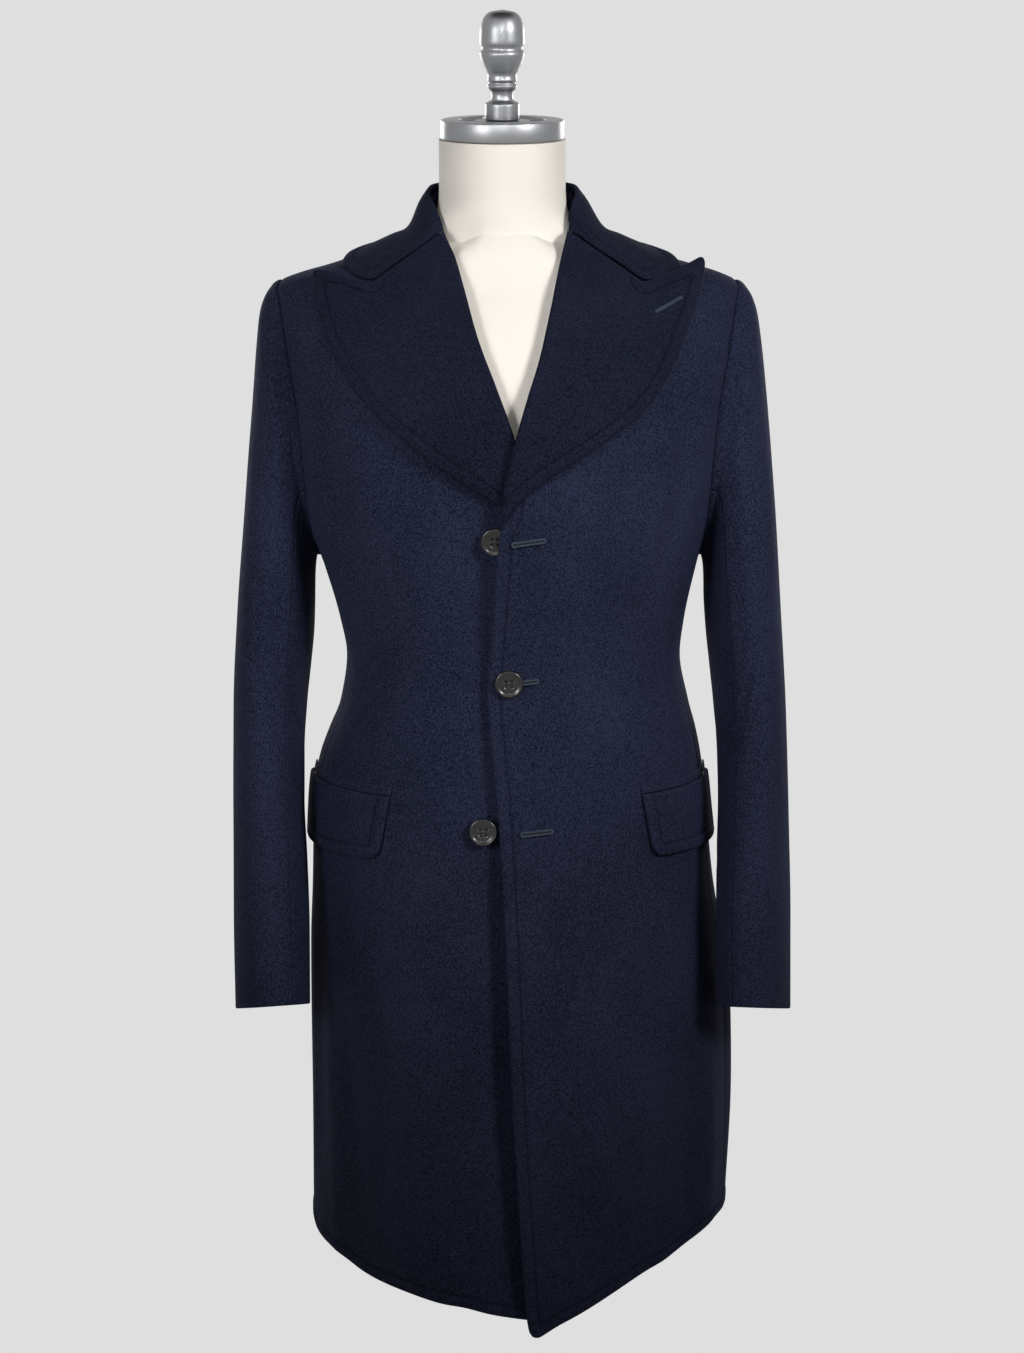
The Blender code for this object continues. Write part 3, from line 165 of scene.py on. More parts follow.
# The collar's fold line, by turn about the neck.
FOLD_COLUMNS = ("turn", "right", "left", "y", "height")
FOLD = (
    (41.0, -0.0575, 0.0550, -0.0530, 1.0430),
    (65.0, -0.0650, 0.0570, -0.0330, 1.0600),
    (90.0, -0.0705, 0.0610, -0.0100, 1.0715),
    (115.0, -0.0688, 0.0600, 0.0120, 1.0775),
    (140.0, -0.0555, 0.0465, 0.0390, 1.0805),
    (160.0, -0.0320, 0.0220, 0.0530, 1.0820),
    (180.0, -0.0050, -0.0050, 0.0580, 1.0825),
)
STAND_STARTS = 56.0      # turn at which the stand is tall enough to show under the fold
STAND_ABOVE_SEAM = 0.0006
STAND_UNDER_FOLD = 0.0082
STAND_INSET = 0.0014     # the stand's top lies this far inside the fold
# The lines across the collar leaf, from its front end (0) to the centre back (1).
LEAF_COLUMNS = ("along", "turn", "height")
LEAF_BASE = (
    (0.0, 42.1, 1.0250), (0.2, 66.5, 1.0328), (0.4, 91.0, 1.0365), (0.7, 136.0, 1.0380), (1.0, 180.0, 1.0390),
)
LEAF_NOTCH = (
    (0.0, 36.8, 0.9960), (0.2, 63.8, 1.0125), (0.4, 91.0, 1.0228), (0.7, 136.0, 1.0280), (1.0, 180.0, 1.0310),
)
LEAF_EDGE = (
    (0.0, 64.2, 1.0063), (0.2, 78.5, 1.0110), (0.4, 95.0, 1.0158), (0.7, 136.5, 1.0210), (1.0, 180.0, 1.0250),
)
LEAF_FULLNESS = 0.0035   # how far the leaf's shoulder, under its fold, stands out
LEAF_SHOULDER = 0.30     # share of the way from the fold to the leaf's base where that shoulder is
LEAF_TOP_OUT = 0.002     # the leaf's top stands out this far from the fold line
LEAF_SHOULDER_WALL = 0.8 # share of the leaf's wall that is left there, seen level
LEAF_FRONT = 0.30        # the leaf's front end, as a share, keeps its place seen from the front

# Sleeves: the outer and inner line of each ring seen from the front, and its place from the side.
SLEEVE_COLUMNS = (
    "along", "outer_x", "outer_z", "inner_x", "inner_z", "middle_y", "half_depth", "swing", "rise",
)
SLEEVE_LEFT = (
    (0.05, 0.2155, 0.9885, 0.1805, 0.7385, -0.007, 0.0615, 0.000, 0.000),
    (0.10, 0.2215, 0.9800, 0.1825, 0.7290, -0.007, 0.0630, 0.000, 0.000),
    (0.15, 0.2270, 0.9650, 0.1835, 0.7150, -0.007, 0.0645, 0.000, 0.000),
    (0.20, 0.2310, 0.9420, 0.1840, 0.6980, -0.007, 0.0655, 0.000, 0.000),
    (0.28, 0.2380, 0.8860, 0.1860, 0.6700, -0.007, 0.0660, 0.001, 0.001),
    (0.36, 0.2440, 0.8265, 0.1900, 0.6350, -0.009, 0.0655, 0.002, 0.002),
    (0.44, 0.2490, 0.7720, 0.1940, 0.6000, -0.012, 0.0650, 0.003, 0.004),
    (0.55, 0.2550, 0.6900, 0.1980, 0.5530, -0.018, 0.0640, 0.005, 0.007),
    (0.66, 0.2610, 0.6000, 0.1990, 0.5080, -0.028, 0.0620, 0.007, 0.011),
    (0.78, 0.2645, 0.5000, 0.1975, 0.4550, -0.044, 0.0600, 0.009, 0.015),
    (0.89, 0.2665, 0.4050, 0.1970, 0.3900, -0.062, 0.0580, 0.011, 0.018),
    (1.00, 0.2665, 0.3170, 0.1985, 0.3195, -0.080, 0.0560, 0.012, 0.021),
)
SLEEVE_RIGHT = (
    (0.05, 0.2145, 0.9885, 0.1785, 0.7385, -0.007, 0.0615, 0.000, 0.000),
    (0.10, 0.2205, 0.9800, 0.1800, 0.7290, -0.007, 0.0630, 0.000, 0.000),
    (0.15, 0.2260, 0.9650, 0.1810, 0.7150, -0.007, 0.0645, 0.000, 0.000),
    (0.20, 0.2290, 0.9420, 0.1815, 0.6980, -0.007, 0.0655, 0.000, 0.000),
    (0.28, 0.2345, 0.8860, 0.1825, 0.6700, -0.007, 0.0660, 0.001, 0.001),
    (0.36, 0.2405, 0.8265, 0.1860, 0.6350, -0.009, 0.0655, 0.002, 0.002),
    (0.44, 0.2455, 0.7720, 0.1900, 0.6000, -0.012, 0.0650, 0.003, 0.004),
    (0.55, 0.2530, 0.6900, 0.1930, 0.5530, -0.018, 0.0640, 0.005, 0.007),
    (0.66, 0.2580, 0.6000, 0.1930, 0.5080, -0.028, 0.0620, 0.006, 0.011),
    (0.78, 0.2590, 0.5000, 0.1900, 0.4550, -0.044, 0.0600, 0.007, 0.015),
    (0.89, 0.2590, 0.4050, 0.1875, 0.3900, -0.062, 0.0580, 0.008, 0.018),
    (1.00, 0.2575, 0.3170, 0.1870, 0.3220, -0.080, 0.0560, 0.009, 0.021),
)

# Pocket flaps and the jetting above them
FLAP_TURN_END = 88.0
FLAP_FRONT_TOP = {"right": 0.1055, "left": 0.1205}      # x of the flap's upper front corner
FLAP_FRONT_BOTTOM = {"right": 0.1160, "left": 0.1310}
FLAP_TOP = (0.5375, 0.5300)       # height at its front end and at its back end
FLAP_BOTTOM = (0.4790, 0.4650)
FLAP_CORNER = 0.012
FLAP_WALL = 0.0036
FLAP_LENGTH = 0.170
FLAP_HEIGHT = 0.060
FLAP_FLARE = 0.0012      # its lower edge stands off this much more
JETTING_ABOVE_FLAP = 0.0008
JETTING_HEIGHT = 0.008
JETTING_WALL = 0.0014

# Buttons
BUTTON_RADIUS = 0.0125
BUTTON_THICKNESS = 0.0036
BUTTON_HOLE_RADIUS = 0.0010
BUTTON_HOLE_SPACING = 0.0021
BUTTONS = (("top", -0.011, 0.775), ("middle", 0.001, 0.6465), ("bottom", -0.022, 0.513))

# The dress form
# How far the form's face lies under the coat's outer face, by height.
FORM_CLEAR = (
    (0.360, 0.0300), (0.520, 0.0180), (0.648, 0.0085), (0.736, 0.0090), (0.850, 0.0110), (0.930, 0.0080),
    (0.970, 0.0042), (0.985, 0.0034), (1.000, 0.0034), (1.012, 0.0031), (1.022, 0.0042), (1.038, 0.0090),
)
FORM_BOTTOM = 0.360
FORM_SHOULDER_HOLLOW = 0.0045    # extra room beside the shoulder's ridge, which alone carries the coat
RIDGE_TURN = 2.0         # the hollow begins this many degrees from the ridge ...
HOLLOW_TURN = 20.0       # ... and is whole this many further on
HOLLOW_FROM = 0.90
HOLLOW_OVER = 0.08
NECK_CENTRE = (-0.005, -0.010)
NECK_RADIUS = 0.057
NECK_TOP = 1.1170
# The neck: height, half width and half depth.
NECK = ((1.050, 0.0610, 0.0560), (1.060, 0.0580, 0.0560), (1.072, 0.0572, 0.0568), (1.085, 0.0570, 0.0570))
CAP_TILT = math.radians(5.7)
CAP_RADIUS = 0.0553
CAP_THICKNESS = 0.0170
CAP_RECESS_RADIUS = 0.0390
CAP_INNER_RADIUS = 0.0260
# The turned knob: radius and height.
KNOB = (
    (0.0000, 0.0000), (0.0140, 0.0000), (0.0153, 0.0015), (0.0153, 0.0140), (0.0140, 0.0155),
    (0.0104, 0.0175), (0.0096, 0.0220), (0.0104, 0.0255), (0.0125, 0.0275), (0.0133, 0.0300),
    (0.0122, 0.0325), (0.0133, 0.0350), (0.0128, 0.0385), (0.0150, 0.0440), (0.0185, 0.0520),
    (0.0200, 0.0575), (0.0183, 0.0622), (0.0200, 0.0670), (0.0196, 0.0770), (0.0170, 0.0870),
    (0.0110, 0.0930), (0.0000, 0.0950),
)
POLE_RADIUS = 0.016
BASE_RADIUS = 0.070
BASE_PROFILE = (
    (0.000, 0.000), (1.000, 0.000), (1.000, 0.010), (0.960, 0.014), (0.400, 0.018), (0.300, 0.0215),
    (0.000, 0.0215),
)
REST = 0.0003            # gap between faces that rest on each other


# Reading the tables

def curve(places, values):
    """Function of a place, or of many, on a curve through the points that never overshoots them."""
    x, y = np.array(places, float), np.array(values, float)
    slopes = np.diff(y) / np.diff(x)
    tangents = np.zeros(len(x))
    tangents[0], tangents[-1] = slopes[0], slopes[-1]
    before, after = slopes[:-1], slopes[1:]
    same_way = before * after > 0
    tangents[1:-1][same_way] = (2 * before * after)[same_way] / (before + after)[same_way]

    def at(place):
        place = np.clip(place, x[0], x[-1])
        i = np.clip(np.searchsorted(x, place, side="right") - 1, 0, len(x) - 2)
        width = x[i + 1] - x[i]
        s = (place - x[i]) / width
        return (y[i] * (1 + 2 * s) * (1 - s) ** 2 + tangents[i] * width * s * (1 - s) ** 2
                + y[i + 1] * s * s * (3 - 2 * s) - tangents[i + 1] * width * s * s * (1 - s))
    return at


def curves(table, columns):
    """A curve for each named column of a table, along its first column."""
    places = [row[0] for row in table]
    return {name: curve(places, [row[k] for row in table]) for k, name in enumerate(columns) if k}


def ease(share):
    """0 to 1 with flat ends."""
    share = np.clip(share, 0.0, 1.0)
    return share * share * (3.0 - 2.0 * share)


def mix(a, b, share):
    return a + (b - a) * share


def unit(vectors):
    return vectors / np.linalg.norm(vectors, axis=-1, keepdims=True)


def vectors(x, y, z):
    return np.stack(np.broadcast_arrays(x, y, z), axis=-1)


# The body's surface

BODY_AT = curves(BODY, BODY_COLUMNS)
SIGNS = {"right": -1.0, "left": 1.0}


def halves(height, to_left, to_front):
    """Half width, half depth, middle and power of the section at a height, on one of its four sides."""
    middle = BODY_AT["middle"](height)
    width = np.where(to_left, BODY_AT["left"](height), BODY_AT["right"](height))
    depth = np.where(to_front, middle - BODY_AT["front"](height), BODY_AT["back"](height) - middle)
    return width, depth, middle, BODY_AT["power"](height)


def outward(x, y, height):
    """Unit normals of the body's surface at points on it."""
    step = 0.0005

    def level(z):
        width, depth, middle, power = halves(z, x >= 0, y <= BODY_AT["middle"](height))
        return np.abs(x / width) ** power + np.abs((y - middle) / depth) ** power

    width, depth, middle, power = halves(height, x >= 0, y <= BODY_AT["middle"](height))
    dx = np.copysign(power * np.abs(x / width) ** (power - 1) / width, x)
    dy = np.copysign(power * np.abs((y - middle) / depth) ** (power - 1) / depth, y - middle)
    dz = (level(height + step) - level(height - step)) / (2 * step)
    return unit(vectors(dx, dy, dz))


def on_body(turn, height, out=0.0):
    """Points at turns in degrees and heights, moved out along the surface's normals."""
    turn, height = np.broadcast_arrays(np.asarray(turn, float), np.asarray(height, float))
    sine, cosine = np.sin(np.radians(turn)), np.cos(np.radians(turn))
    width, depth, middle, power = halves(height, sine >= 0, cosine >= 0)
    reach = (np.abs(sine) ** power + np.abs(cosine) ** power) ** (-1.0 / power)
    x, y = width * reach * sine, middle - depth * reach * cosine
    return vectors(x, y, height) + outward(x, y, height) * np.asarray(out)[..., None]


def turn_at_x(x, height):
    """Turns of the front points that have these x."""
    width, _, _, power = halves(height, x >= 0, True)
    share = np.minimum(1.0, np.abs(x) / width)
    forward = (1.0 - share ** power) ** (1.0 / power)
    return np.degrees(np.arctan2(np.copysign(share, x), forward))


def turn_at_y(y, height):
    """Turns, from 0 to 180, of the side points that have these y."""
    _, depth, middle, power = halves(height, True, y <= BODY_AT["middle"](height))
    forward = (middle - y) / depth
    share = (1.0 - np.minimum(1.0, np.abs(forward)) ** power) ** (1.0 / power)
    return np.degrees(np.arctan2(share, forward))


def armhole(around, shrink=0.0):
    """Turns and heights of the armhole's line, round from its top towards the front."""
    angle = np.radians(around)
    height = ARMHOLE_HEIGHT + (ARMHOLE_HALF_HEIGHT - shrink) * np.cos(angle)
    y = BODY_AT["middle"](height) - (ARMHOLE_HALF_WIDTH - shrink) * np.sin(angle)
    return turn_at_y(y, height), height


SEAM_FRONT, UNDERARM = (float(value) for value in armhole(SIDE_SEAM_TURN))
SEAM_BACK = float(armhole(360.0 - SIDE_SEAM_TURN)[0])
EDGE_AT = {"left": curve(*list(zip(*EDGE_LEFT))), "right": curve(*list(zip(*EDGE_RIGHT)))}
HEM_AT = {"left": curve(*list(zip(*HEM_LEFT))), "right": curve(*list(zip(*HEM_RIGHT)))}
LIFT_AT = curve(*list(zip(*LIFT)))


def hem_height(side, x):
    """Height of a front's hem at x; it eases into the back's hem at the side."""
    front = HEM_AT[side](x)
    turn = turn_at_x(x, HEM_BACK)
    return front + (HEM_BACK - front) * ease((np.abs(turn) - HEM_EASE_FROM) / (90.0 - HEM_EASE_FROM))


def lift_at(side, x, height):
    """How far a front stands off the body's surface."""
    if side == "right":
        return np.zeros(np.broadcast(x, height).shape)
    return LIFT_AT(height) * (1.0 - ease((x - LIFT_FULL) / (LIFT_ENDS - LIFT_FULL)))


# Cloth shells

SEAM_STEPS = (0.0, 0.0002, 0.0006, 0.0012, 0.0021, 0.0036)
STITCHED_STEPS = (0.0, 0.0002, 0.0006, 0.0012, 0.0021, 0.0036, 0.0056, 0.0076, 0.0092, 0.0102, 0.0110,
                  0.0118, 0.0126, 0.0136, 0.0150, 0.0172)
ROUND_SEAM = 0.0022      # a seamed border dips over this width
ROUND_EDGE = 0.0018      # a free edge is rounded over this width
STITCH_LINE = 0.0115     # the edge stitching's distance from the edge
STITCH_DEPTH = 0.0007
STITCH_WIDTH = 0.0014
WELT = 0.0009            # how much the cloth swells between the edge and its stitching


def stations(length, first, last, step):
    """Shares of a length: close together by each end, then even."""
    low = [distance / length for distance in first]
    high = [1.0 - distance / length for distance in reversed(last)]
    gap = high[0] - low[-1]
    count = max(1, round(gap * length / step))
    return np.array(low + [low[-1] + gap * k / count for k in range(1, count)] + high)


def distance_to(points, line):
    """Distance from every point of a grid to a line of points."""
    flat = points.reshape(-1, 3)
    nearest = np.full(len(flat), np.inf)
    for a, b in zip(line, line[1:]):
        way = b - a
        size = max(1e-12, float(way @ way))
        share = np.clip(((flat - a) @ way) / size, 0.0, 1.0)
        gap = flat - a - share[:, None] * way
        nearest = np.minimum(nearest, np.einsum("ij,ij->i", gap, gap))
    return np.sqrt(nearest).reshape(points.shape[:-1])


def round_corner(u, v, corner, size, radius):
    """Shares of a grid drawn in so that the corner of its outline at (u, v) is round."""
    off_u = np.abs(u - corner[0]) * size[0]
    off_v = np.abs(v - corner[1]) * size[1]
    a, b = np.clip(1.0 - off_u / radius, 0.0, None), np.clip(1.0 - off_v / radius, 0.0, None)
    drawn = np.maximum(a, b) / np.maximum(1e-9, np.hypot(a, b))
    inside = (a > 0.0) & (b > 0.0)
    new_u = np.where(inside, radius * (1.0 - a * drawn), off_u) / size[0]
    new_v = np.where(inside, radius * (1.0 - b * drawn), off_v) / size[1]
    return (1.0 - new_u if corner[0] else new_u), (1.0 - new_v if corner[1] else new_v)


def rounding(distance, radius):
    """Share of the wall's half thickness that is left near a rounded border."""
    return np.sqrt(np.maximum(0.0, 1.0 - (1.0 - np.clip(distance / radius, 0.0, 1.0)) ** 2))


def stitched(distance):
    """Relief of a swelled edge: a soft welt, then the groove of its stitching."""
    welt = WELT * ease(distance / 0.004) * ease((STITCH_LINE + 0.001 - distance) / 0.004)
    groove = STITCH_DEPTH * np.exp(-((distance - STITCH_LINE) / STITCH_WIDTH) ** 2)
    return welt - groove


def shell(name, surface, u, v, cloth, wall=WALL, edges="", seams="", relief=None, lies=0.0):
    """Closed shell of cloth over a grid.

    surface(u, v, out) gives points; edges and seams name the borders, of "left right bottom top",
    that are free and stitched, or sewn to a neighbour; relief(points) adds creases.
    """
    us, vs = np.meshgrid(u, v)
    base = surface(us, vs, np.zeros_like(us))
    ways = unit(surface(us, vs, np.full_like(us, 0.001)) - base)
    borders = {"left": base[:, 0], "right": base[:, -1], "bottom": base[0], "top": base[-1]}
    far = np.full(us.shape, 1.0)
    free, sewn = far.copy(), far.copy()
    for border in edges.split():
        free = np.minimum(free, distance_to(base, borders[border]))
    for border in seams.split():
        sewn = np.minimum(sewn, distance_to(base, borders[border]))
    kept = rounding(free, ROUND_EDGE) * rounding(sewn, ROUND_SEAM)
    bend = relief(base) if relief is not None else 0.0
    finish = stitched(free) * kept if edges else 0.0
    half = (wall(us, vs) if callable(wall) else wall) / 2.0
    rest = lies(us, vs) if callable(lies) else lies
    outer = base + ways * (rest + half + half * kept + bend + finish)[..., None]
    inner = base + ways * (rest + half - half * kept + bend)[..., None]
    return add_shell(name, outer, inner, cloth, {"edge": free, "seam": sewn})


def add_shell(name, outer, inner, cloth, facts=None, closed=False):
    """Object of two grids of points that meet along their borders, or at both ends of a tube."""
    rows, columns = outer.shape[:2]
    numbers = np.arange(rows * columns).reshape(rows, columns)
    under = numbers + rows * columns
    under[0], under[-1] = numbers[0], numbers[-1]
    if not closed:
        under[:, 0], under[:, -1] = numbers[:, 0], numbers[:, -1]
    points = np.concatenate([outer.reshape(-1, 3), inner.reshape(-1, 3)])
    span = columns if closed else columns - 1
    faces = []
    for r in range(rows - 1):
        for c in range(span):
            d = (c + 1) % columns
            faces.append((numbers[r, c], numbers[r, d], numbers[r + 1, d], numbers[r + 1, c]))
            faces.append((under[r + 1, c], under[r + 1, d], under[r, d], under[r, c]))
    faces = np.array(faces)
    used, renumbered = np.unique(faces, return_inverse=True)
    mesh = bpy.data.meshes.new(name)
    mesh.from_pydata(points[used].tolist(), [], renumbered.reshape(faces.shape).tolist())
    for fact, values in (facts or {}).items():
        both = np.concatenate([values.reshape(-1), values.reshape(-1)])[used]
        mesh.attributes.new(fact, "FLOAT", "POINT").data.foreach_set("value", both.astype(np.float32))
    mesh.validate()
    if signed_volume(mesh) < 0.0:
        mesh.flip_normals()
    mesh.shade_smooth()
    return add(name, mesh, cloth)


def signed_volume(mesh):
    mesh.calc_loop_triangles()
    points = np.empty(len(mesh.vertices) * 3)
    mesh.vertices.foreach_get("co", points)
    points = points.reshape(-1, 3)
    corners = np.empty(len(mesh.loop_triangles) * 3, dtype=np.int64)
    mesh.loop_triangles.foreach_get("vertices", corners)
    a, b, c = (points[corners.reshape(-1, 3)[:, k]] for k in range(3))
    return float(np.einsum("ij,ij->i", a, np.cross(b, c)).sum()) / 6.0


def add(name, mesh, material, location=(0, 0, 0), rotation=(0, 0, 0)):
    piece = bpy.data.objects.new(name, mesh)
    mesh.materials.append(material)
    piece.location = location
    piece.rotation_euler = rotation
    bpy.context.scene.collection.objects.link(piece)
    return piece


def patch(bottom, top, inner, outer, hold=1.0):
    """Point (u, v) between four border lines, rows straight from the inner to the outer border."""
    def at(u, v):
        low, high, near, far = bottom(u), top(u), inner(v), outer(v)
        zero, one = np.zeros_like(u), np.ones_like(u)
        ends = [bottom(zero), bottom(one), top(zero), top(one)]
        return tuple(
            (1 - u) * near[k] + u * far[k]
            + (low[k] - (1 - u) * ends[0][k] - u * ends[1][k]) * (1 - v) ** hold
            + (high[k] - (1 - u) * ends[2][k] - u * ends[3][k]) * v ** hold for k in range(2))
    return at


def finish_cloth(piece, node):
    """Hides the solid and puts the piece of cloth that stands for it under the root."""
    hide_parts(node)
    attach(piece, "root")


# Creases: soft troughs (negative) and ridges along lines on the body. Each row has the line's turns at its
# lower and upper end and the heights of those ends, then its half width in degrees and its depth.

BODY_CREASES = (
    (12.0, 9.5, 0.030, 0.430, 4.5, -0.0034),      # beside the top front's edge, down to the hem
    (27.0, 24.0, 0.120, 0.330, 8.0, 0.0018),
    (41.0, 39.0, 0.100, 0.230, 3.5, 0.0016),
    (50.0, 48.0, 0.140, 0.290, 4.0, -0.0026),
    (60.0, 56.0, 0.150, 0.330, 4.5, 0.0030),      # side of the left skirt
    (73.0, 71.0, 0.190, 0.400, 5.5, -0.0026),
    (-12.0, -10.0, 0.050, 0.400, 4.5, -0.0026),
    (-29.0, -28.0, 0.110, 0.420, 11.0, 0.0016),
    (-47.0, -49.0, 0.160, 0.340, 5.0, -0.0034),   # beside the right skirt's broad flat
    (-56.0, -57.0, 0.120, 0.230, 3.8, 0.0026),
    (-68.0, -67.0, 0.200, 0.430, 6.0, -0.0034),
    (97.0, 99.0, 0.090, 0.420, 6.0, 0.0028),
    (113.0, 112.0, 0.080, 0.350, 5.5, -0.0045),
    (131.0, 134.0, 0.080, 0.440, 7.0, 0.0045),
    (150.0, 149.0, 0.080, 0.300, 6.0, -0.0040),
    (166.0, 168.0, 0.080, 0.500, 6.0, 0.0025),
    (-101.0, -99.0, 0.080, 0.390, 5.5, -0.0030),
    (-119.0, -121.0, 0.080, 0.450, 7.0, 0.0048),
    (-139.0, -137.0, 0.080, 0.330, 5.5, -0.0045),
    (-158.0, -160.0, 0.080, 0.410, 6.5, 0.0030),
    (49.0, 53.0, 0.780, 0.930, 4.5, -0.0035),     # hollows along the armholes' fronts
    (-49.0, -54.0, 0.780, 0.925, 4.5, -0.0040),
    (133.0, 129.0, 0.770, 0.940, 5.0, -0.0035),
    (-134.0, -128.0, 0.780, 0.930, 5.0, -0.0030),
)
CREASE_FADE = 0.090      # a crease runs out over this height above and below


def body_creases(points):
    """Relief of the body's creases at points on its surface."""
    x, y, height = (points[..., k] for k in range(3))
    middle = BODY_AT["middle"](height)
    width, depth, _, _ = halves(height, x >= 0, y <= middle)
    turn = np.degrees(np.arctan2(x / width, (middle - y) / depth))
    relief = np.zeros(x.shape)
    for turn_low, turn_high, low, high, half_width, size in BODY_CREASES:
        share = (height - low) / (high - low)
        line = turn_low + (turn_high - turn_low) * share
        away = (turn - line + 180.0) % 360.0 - 180.0
        along = ease((height - low + CREASE_FADE) / CREASE_FADE) * ease((high - height) / CREASE_FADE)
        relief += size * along * np.exp(-(away / half_width) ** 2)
    return relief


# Fronts, sides and backs

BELOW_SHARE = 0.6        # share of a panel's rows that lie below the underarm
ROW_CROWDING = 1.4       # rows above the underarm draw together towards the shoulder's ridge


def outer_border(v, sign, armhole_turn, low, seam_turn):
    """A front's or a back's border from the hem up its side seam and round the armhole."""
    share = np.clip((v - BELOW_SHARE) / (1.0 - BELOW_SHARE), 0.0, 1.0)
    share = 1.0 - (1.0 - share) ** ROW_CROWDING
    around = armhole_turn * (1.0 - share) if armhole_turn < 180.0 else mix(armhole_turn, 360.0, share)
    turn, height = armhole(around)
    below = v <= BELOW_SHARE
    seam_height = mix(low, UNDERARM, np.minimum(1.0, v / BELOW_SHARE))
    return sign * np.where(below, seam_turn, turn), np.where(below, seam_height, height)


def rise(v, start, end):
    """Height along an inner border: to the underarm's height, then on to its end."""
    share = np.clip((v - BELOW_SHARE) / (1.0 - BELOW_SHARE), 0.0, 1.0)
    share = 1.0 - (1.0 - share) ** ROW_CROWDING
    below = start + (UNDERARM - start) * v / BELOW_SHARE
    return np.where(v <= BELOW_SHARE, below, UNDERARM + (end - UNDERARM) * share)


def shoulder_border(u, sign, start_turn, neck_share):
    """The neckline to the shoulder's ridge, then the ridge out to the armhole."""
    to_ridge = mix(start_turn, sign * 90.0, np.minimum(1.0, u / neck_share))
    turn = np.where(u <= neck_share, to_ridge, sign * 90.0)
    along = np.clip((u - neck_share) / (1.0 - neck_share), 0.0, 1.0)
    return turn, mix(NECKLINE, SHOULDER_END, along)


PANEL_HEIGHT = 0.98      # nominal sizes of a panel, for spacing its grid
FRONT_WIDTH = 0.25
BACK_WIDTH = 0.22
SIDE_WIDTH = 0.11
GRID = 0.0075
SIDE_SPREAD = 3          # power by which a side's columns spread towards the armhole
NECK_SHARE = 0.25        # share of a front's top border that is neckline
BACK_NECK_SHARE = 1.0 / 3.0
ROLL_BACK = 0.0048       # above the break a front ends this far short of the lapel's rolled edge


# Waist darts: x at the lower and upper end, and the heights of those ends.
DARTS = {"left": (0.140, 0.136, 0.545, 0.690), "right": (-0.126, -0.122, 0.545, 0.690)}
DART_DEPTH = 0.0011
DART_WIDTH = 0.0016
CORNER_RADIUS = 0.009    # reach of the rounding where a front's edge meets its hem
# Depth of the trough of the right front beside the left front's edge, by height.
TROUGH_AT = curve(*zip((0.03, 0.006), (0.12, 0.012), (0.25, 0.015), (0.40, 0.0130), (0.513, 0.0080),
                       (0.56, 0.0065), (0.6465, 0.0048), (0.70, 0.0060), (0.775, 0.0065), (0.82, 0.0030),
                       (0.86, 0.0)))
TROUGH_WIDTH = 0.030


def panel_rows(hem):
    rows = stations(PANEL_HEIGHT, hem, SEAM_STEPS, GRID)
    return np.unique(np.append(rows, BELOW_SHARE))


def front_surface(side):
    sign = SIGNS[side]
    hem_start = float(hem_height(side, EDGE_AT[side](HEM_EDGE_HEIGHT)))
    roll_start = LAPEL_ROLL_BOTTOM[0 if side == "left" else 1]

    def inner(v):
        height = rise(v, hem_start, NECKLINE)
        x = np.where(v > 0, EDGE_AT[side](height), EDGE_AT[side](hem_start))
        x = x + sign * ROLL_BACK * ease((height - roll_start + 0.004) / 0.012)
        return turn_at_x(x, height), height

    first_turn = float(inner(np.zeros(1))[0][0])
    neck_turn = float(inner(np.ones(1))[0][0])
    low = float(hem_height(side, on_body(sign * SEAM_FRONT, HEM_BACK)[..., 0]))

    def bottom(u):
        turn = first_turn + (sign * SEAM_FRONT - first_turn) * u
        return turn, hem_height(side, on_body(turn, HEM_BACK)[..., 0])

    def outer(v):
        return outer_border(v, sign, SIDE_SEAM_TURN, low, SEAM_FRONT)

    def top(u):
        return shoulder_border(u, sign, neck_turn, NECK_SHARE)

    place = patch(bottom, top, inner, outer, PANEL_HOLD)

    def surface(u, v, out):
        turn, height = place(u, v)
        x = on_body(turn, height)[..., 0]
        return on_body(turn, height, out + lift_at(side, x, height))
    return surface


def make_front(side, wool):
    u = stations(FRONT_WIDTH, STITCHED_STEPS, SEAM_STEPS, GRID * 0.6)
    u = np.unique(np.append(u, NECK_SHARE))
    name = "front_" + side
    plain = front_surface(side)

    def surface(u, v, out):
        return plain(*round_corner(u, v, (0, 0), (FRONT_WIDTH, PANEL_HEIGHT), CORNER_RADIUS), out)

    piece = shell(name + "_cloth", surface, u, panel_rows(STITCHED_STEPS), wool, lies=-WALL,
                  edges="left bottom", seams="right top", relief=lambda p: front_relief(side, p))
    finish_cloth(piece, name)


def front_relief(side, points):
    """Creases of a front, with the fine line of its waist dart."""
    x_low, x_high, low, high = DARTS[side]
    height = points[..., 2]
    line = mix(x_low, x_high, (height - low) / (high - low))
    along = ease((height - low) / 0.02) * ease((high - height) / 0.05)
    dart = -DART_DEPTH * along * np.exp(-((points[..., 0] - line) / DART_WIDTH) ** 2)
    relief = body_creases(points) + dart
    if side == "right":
        off = np.minimum(0.0, points[..., 0] - EDGE_AT["left"](height) + 0.003)
        relief = relief - TROUGH_AT(height) * np.exp(-(off / TROUGH_WIDTH) ** 2)
    return relief


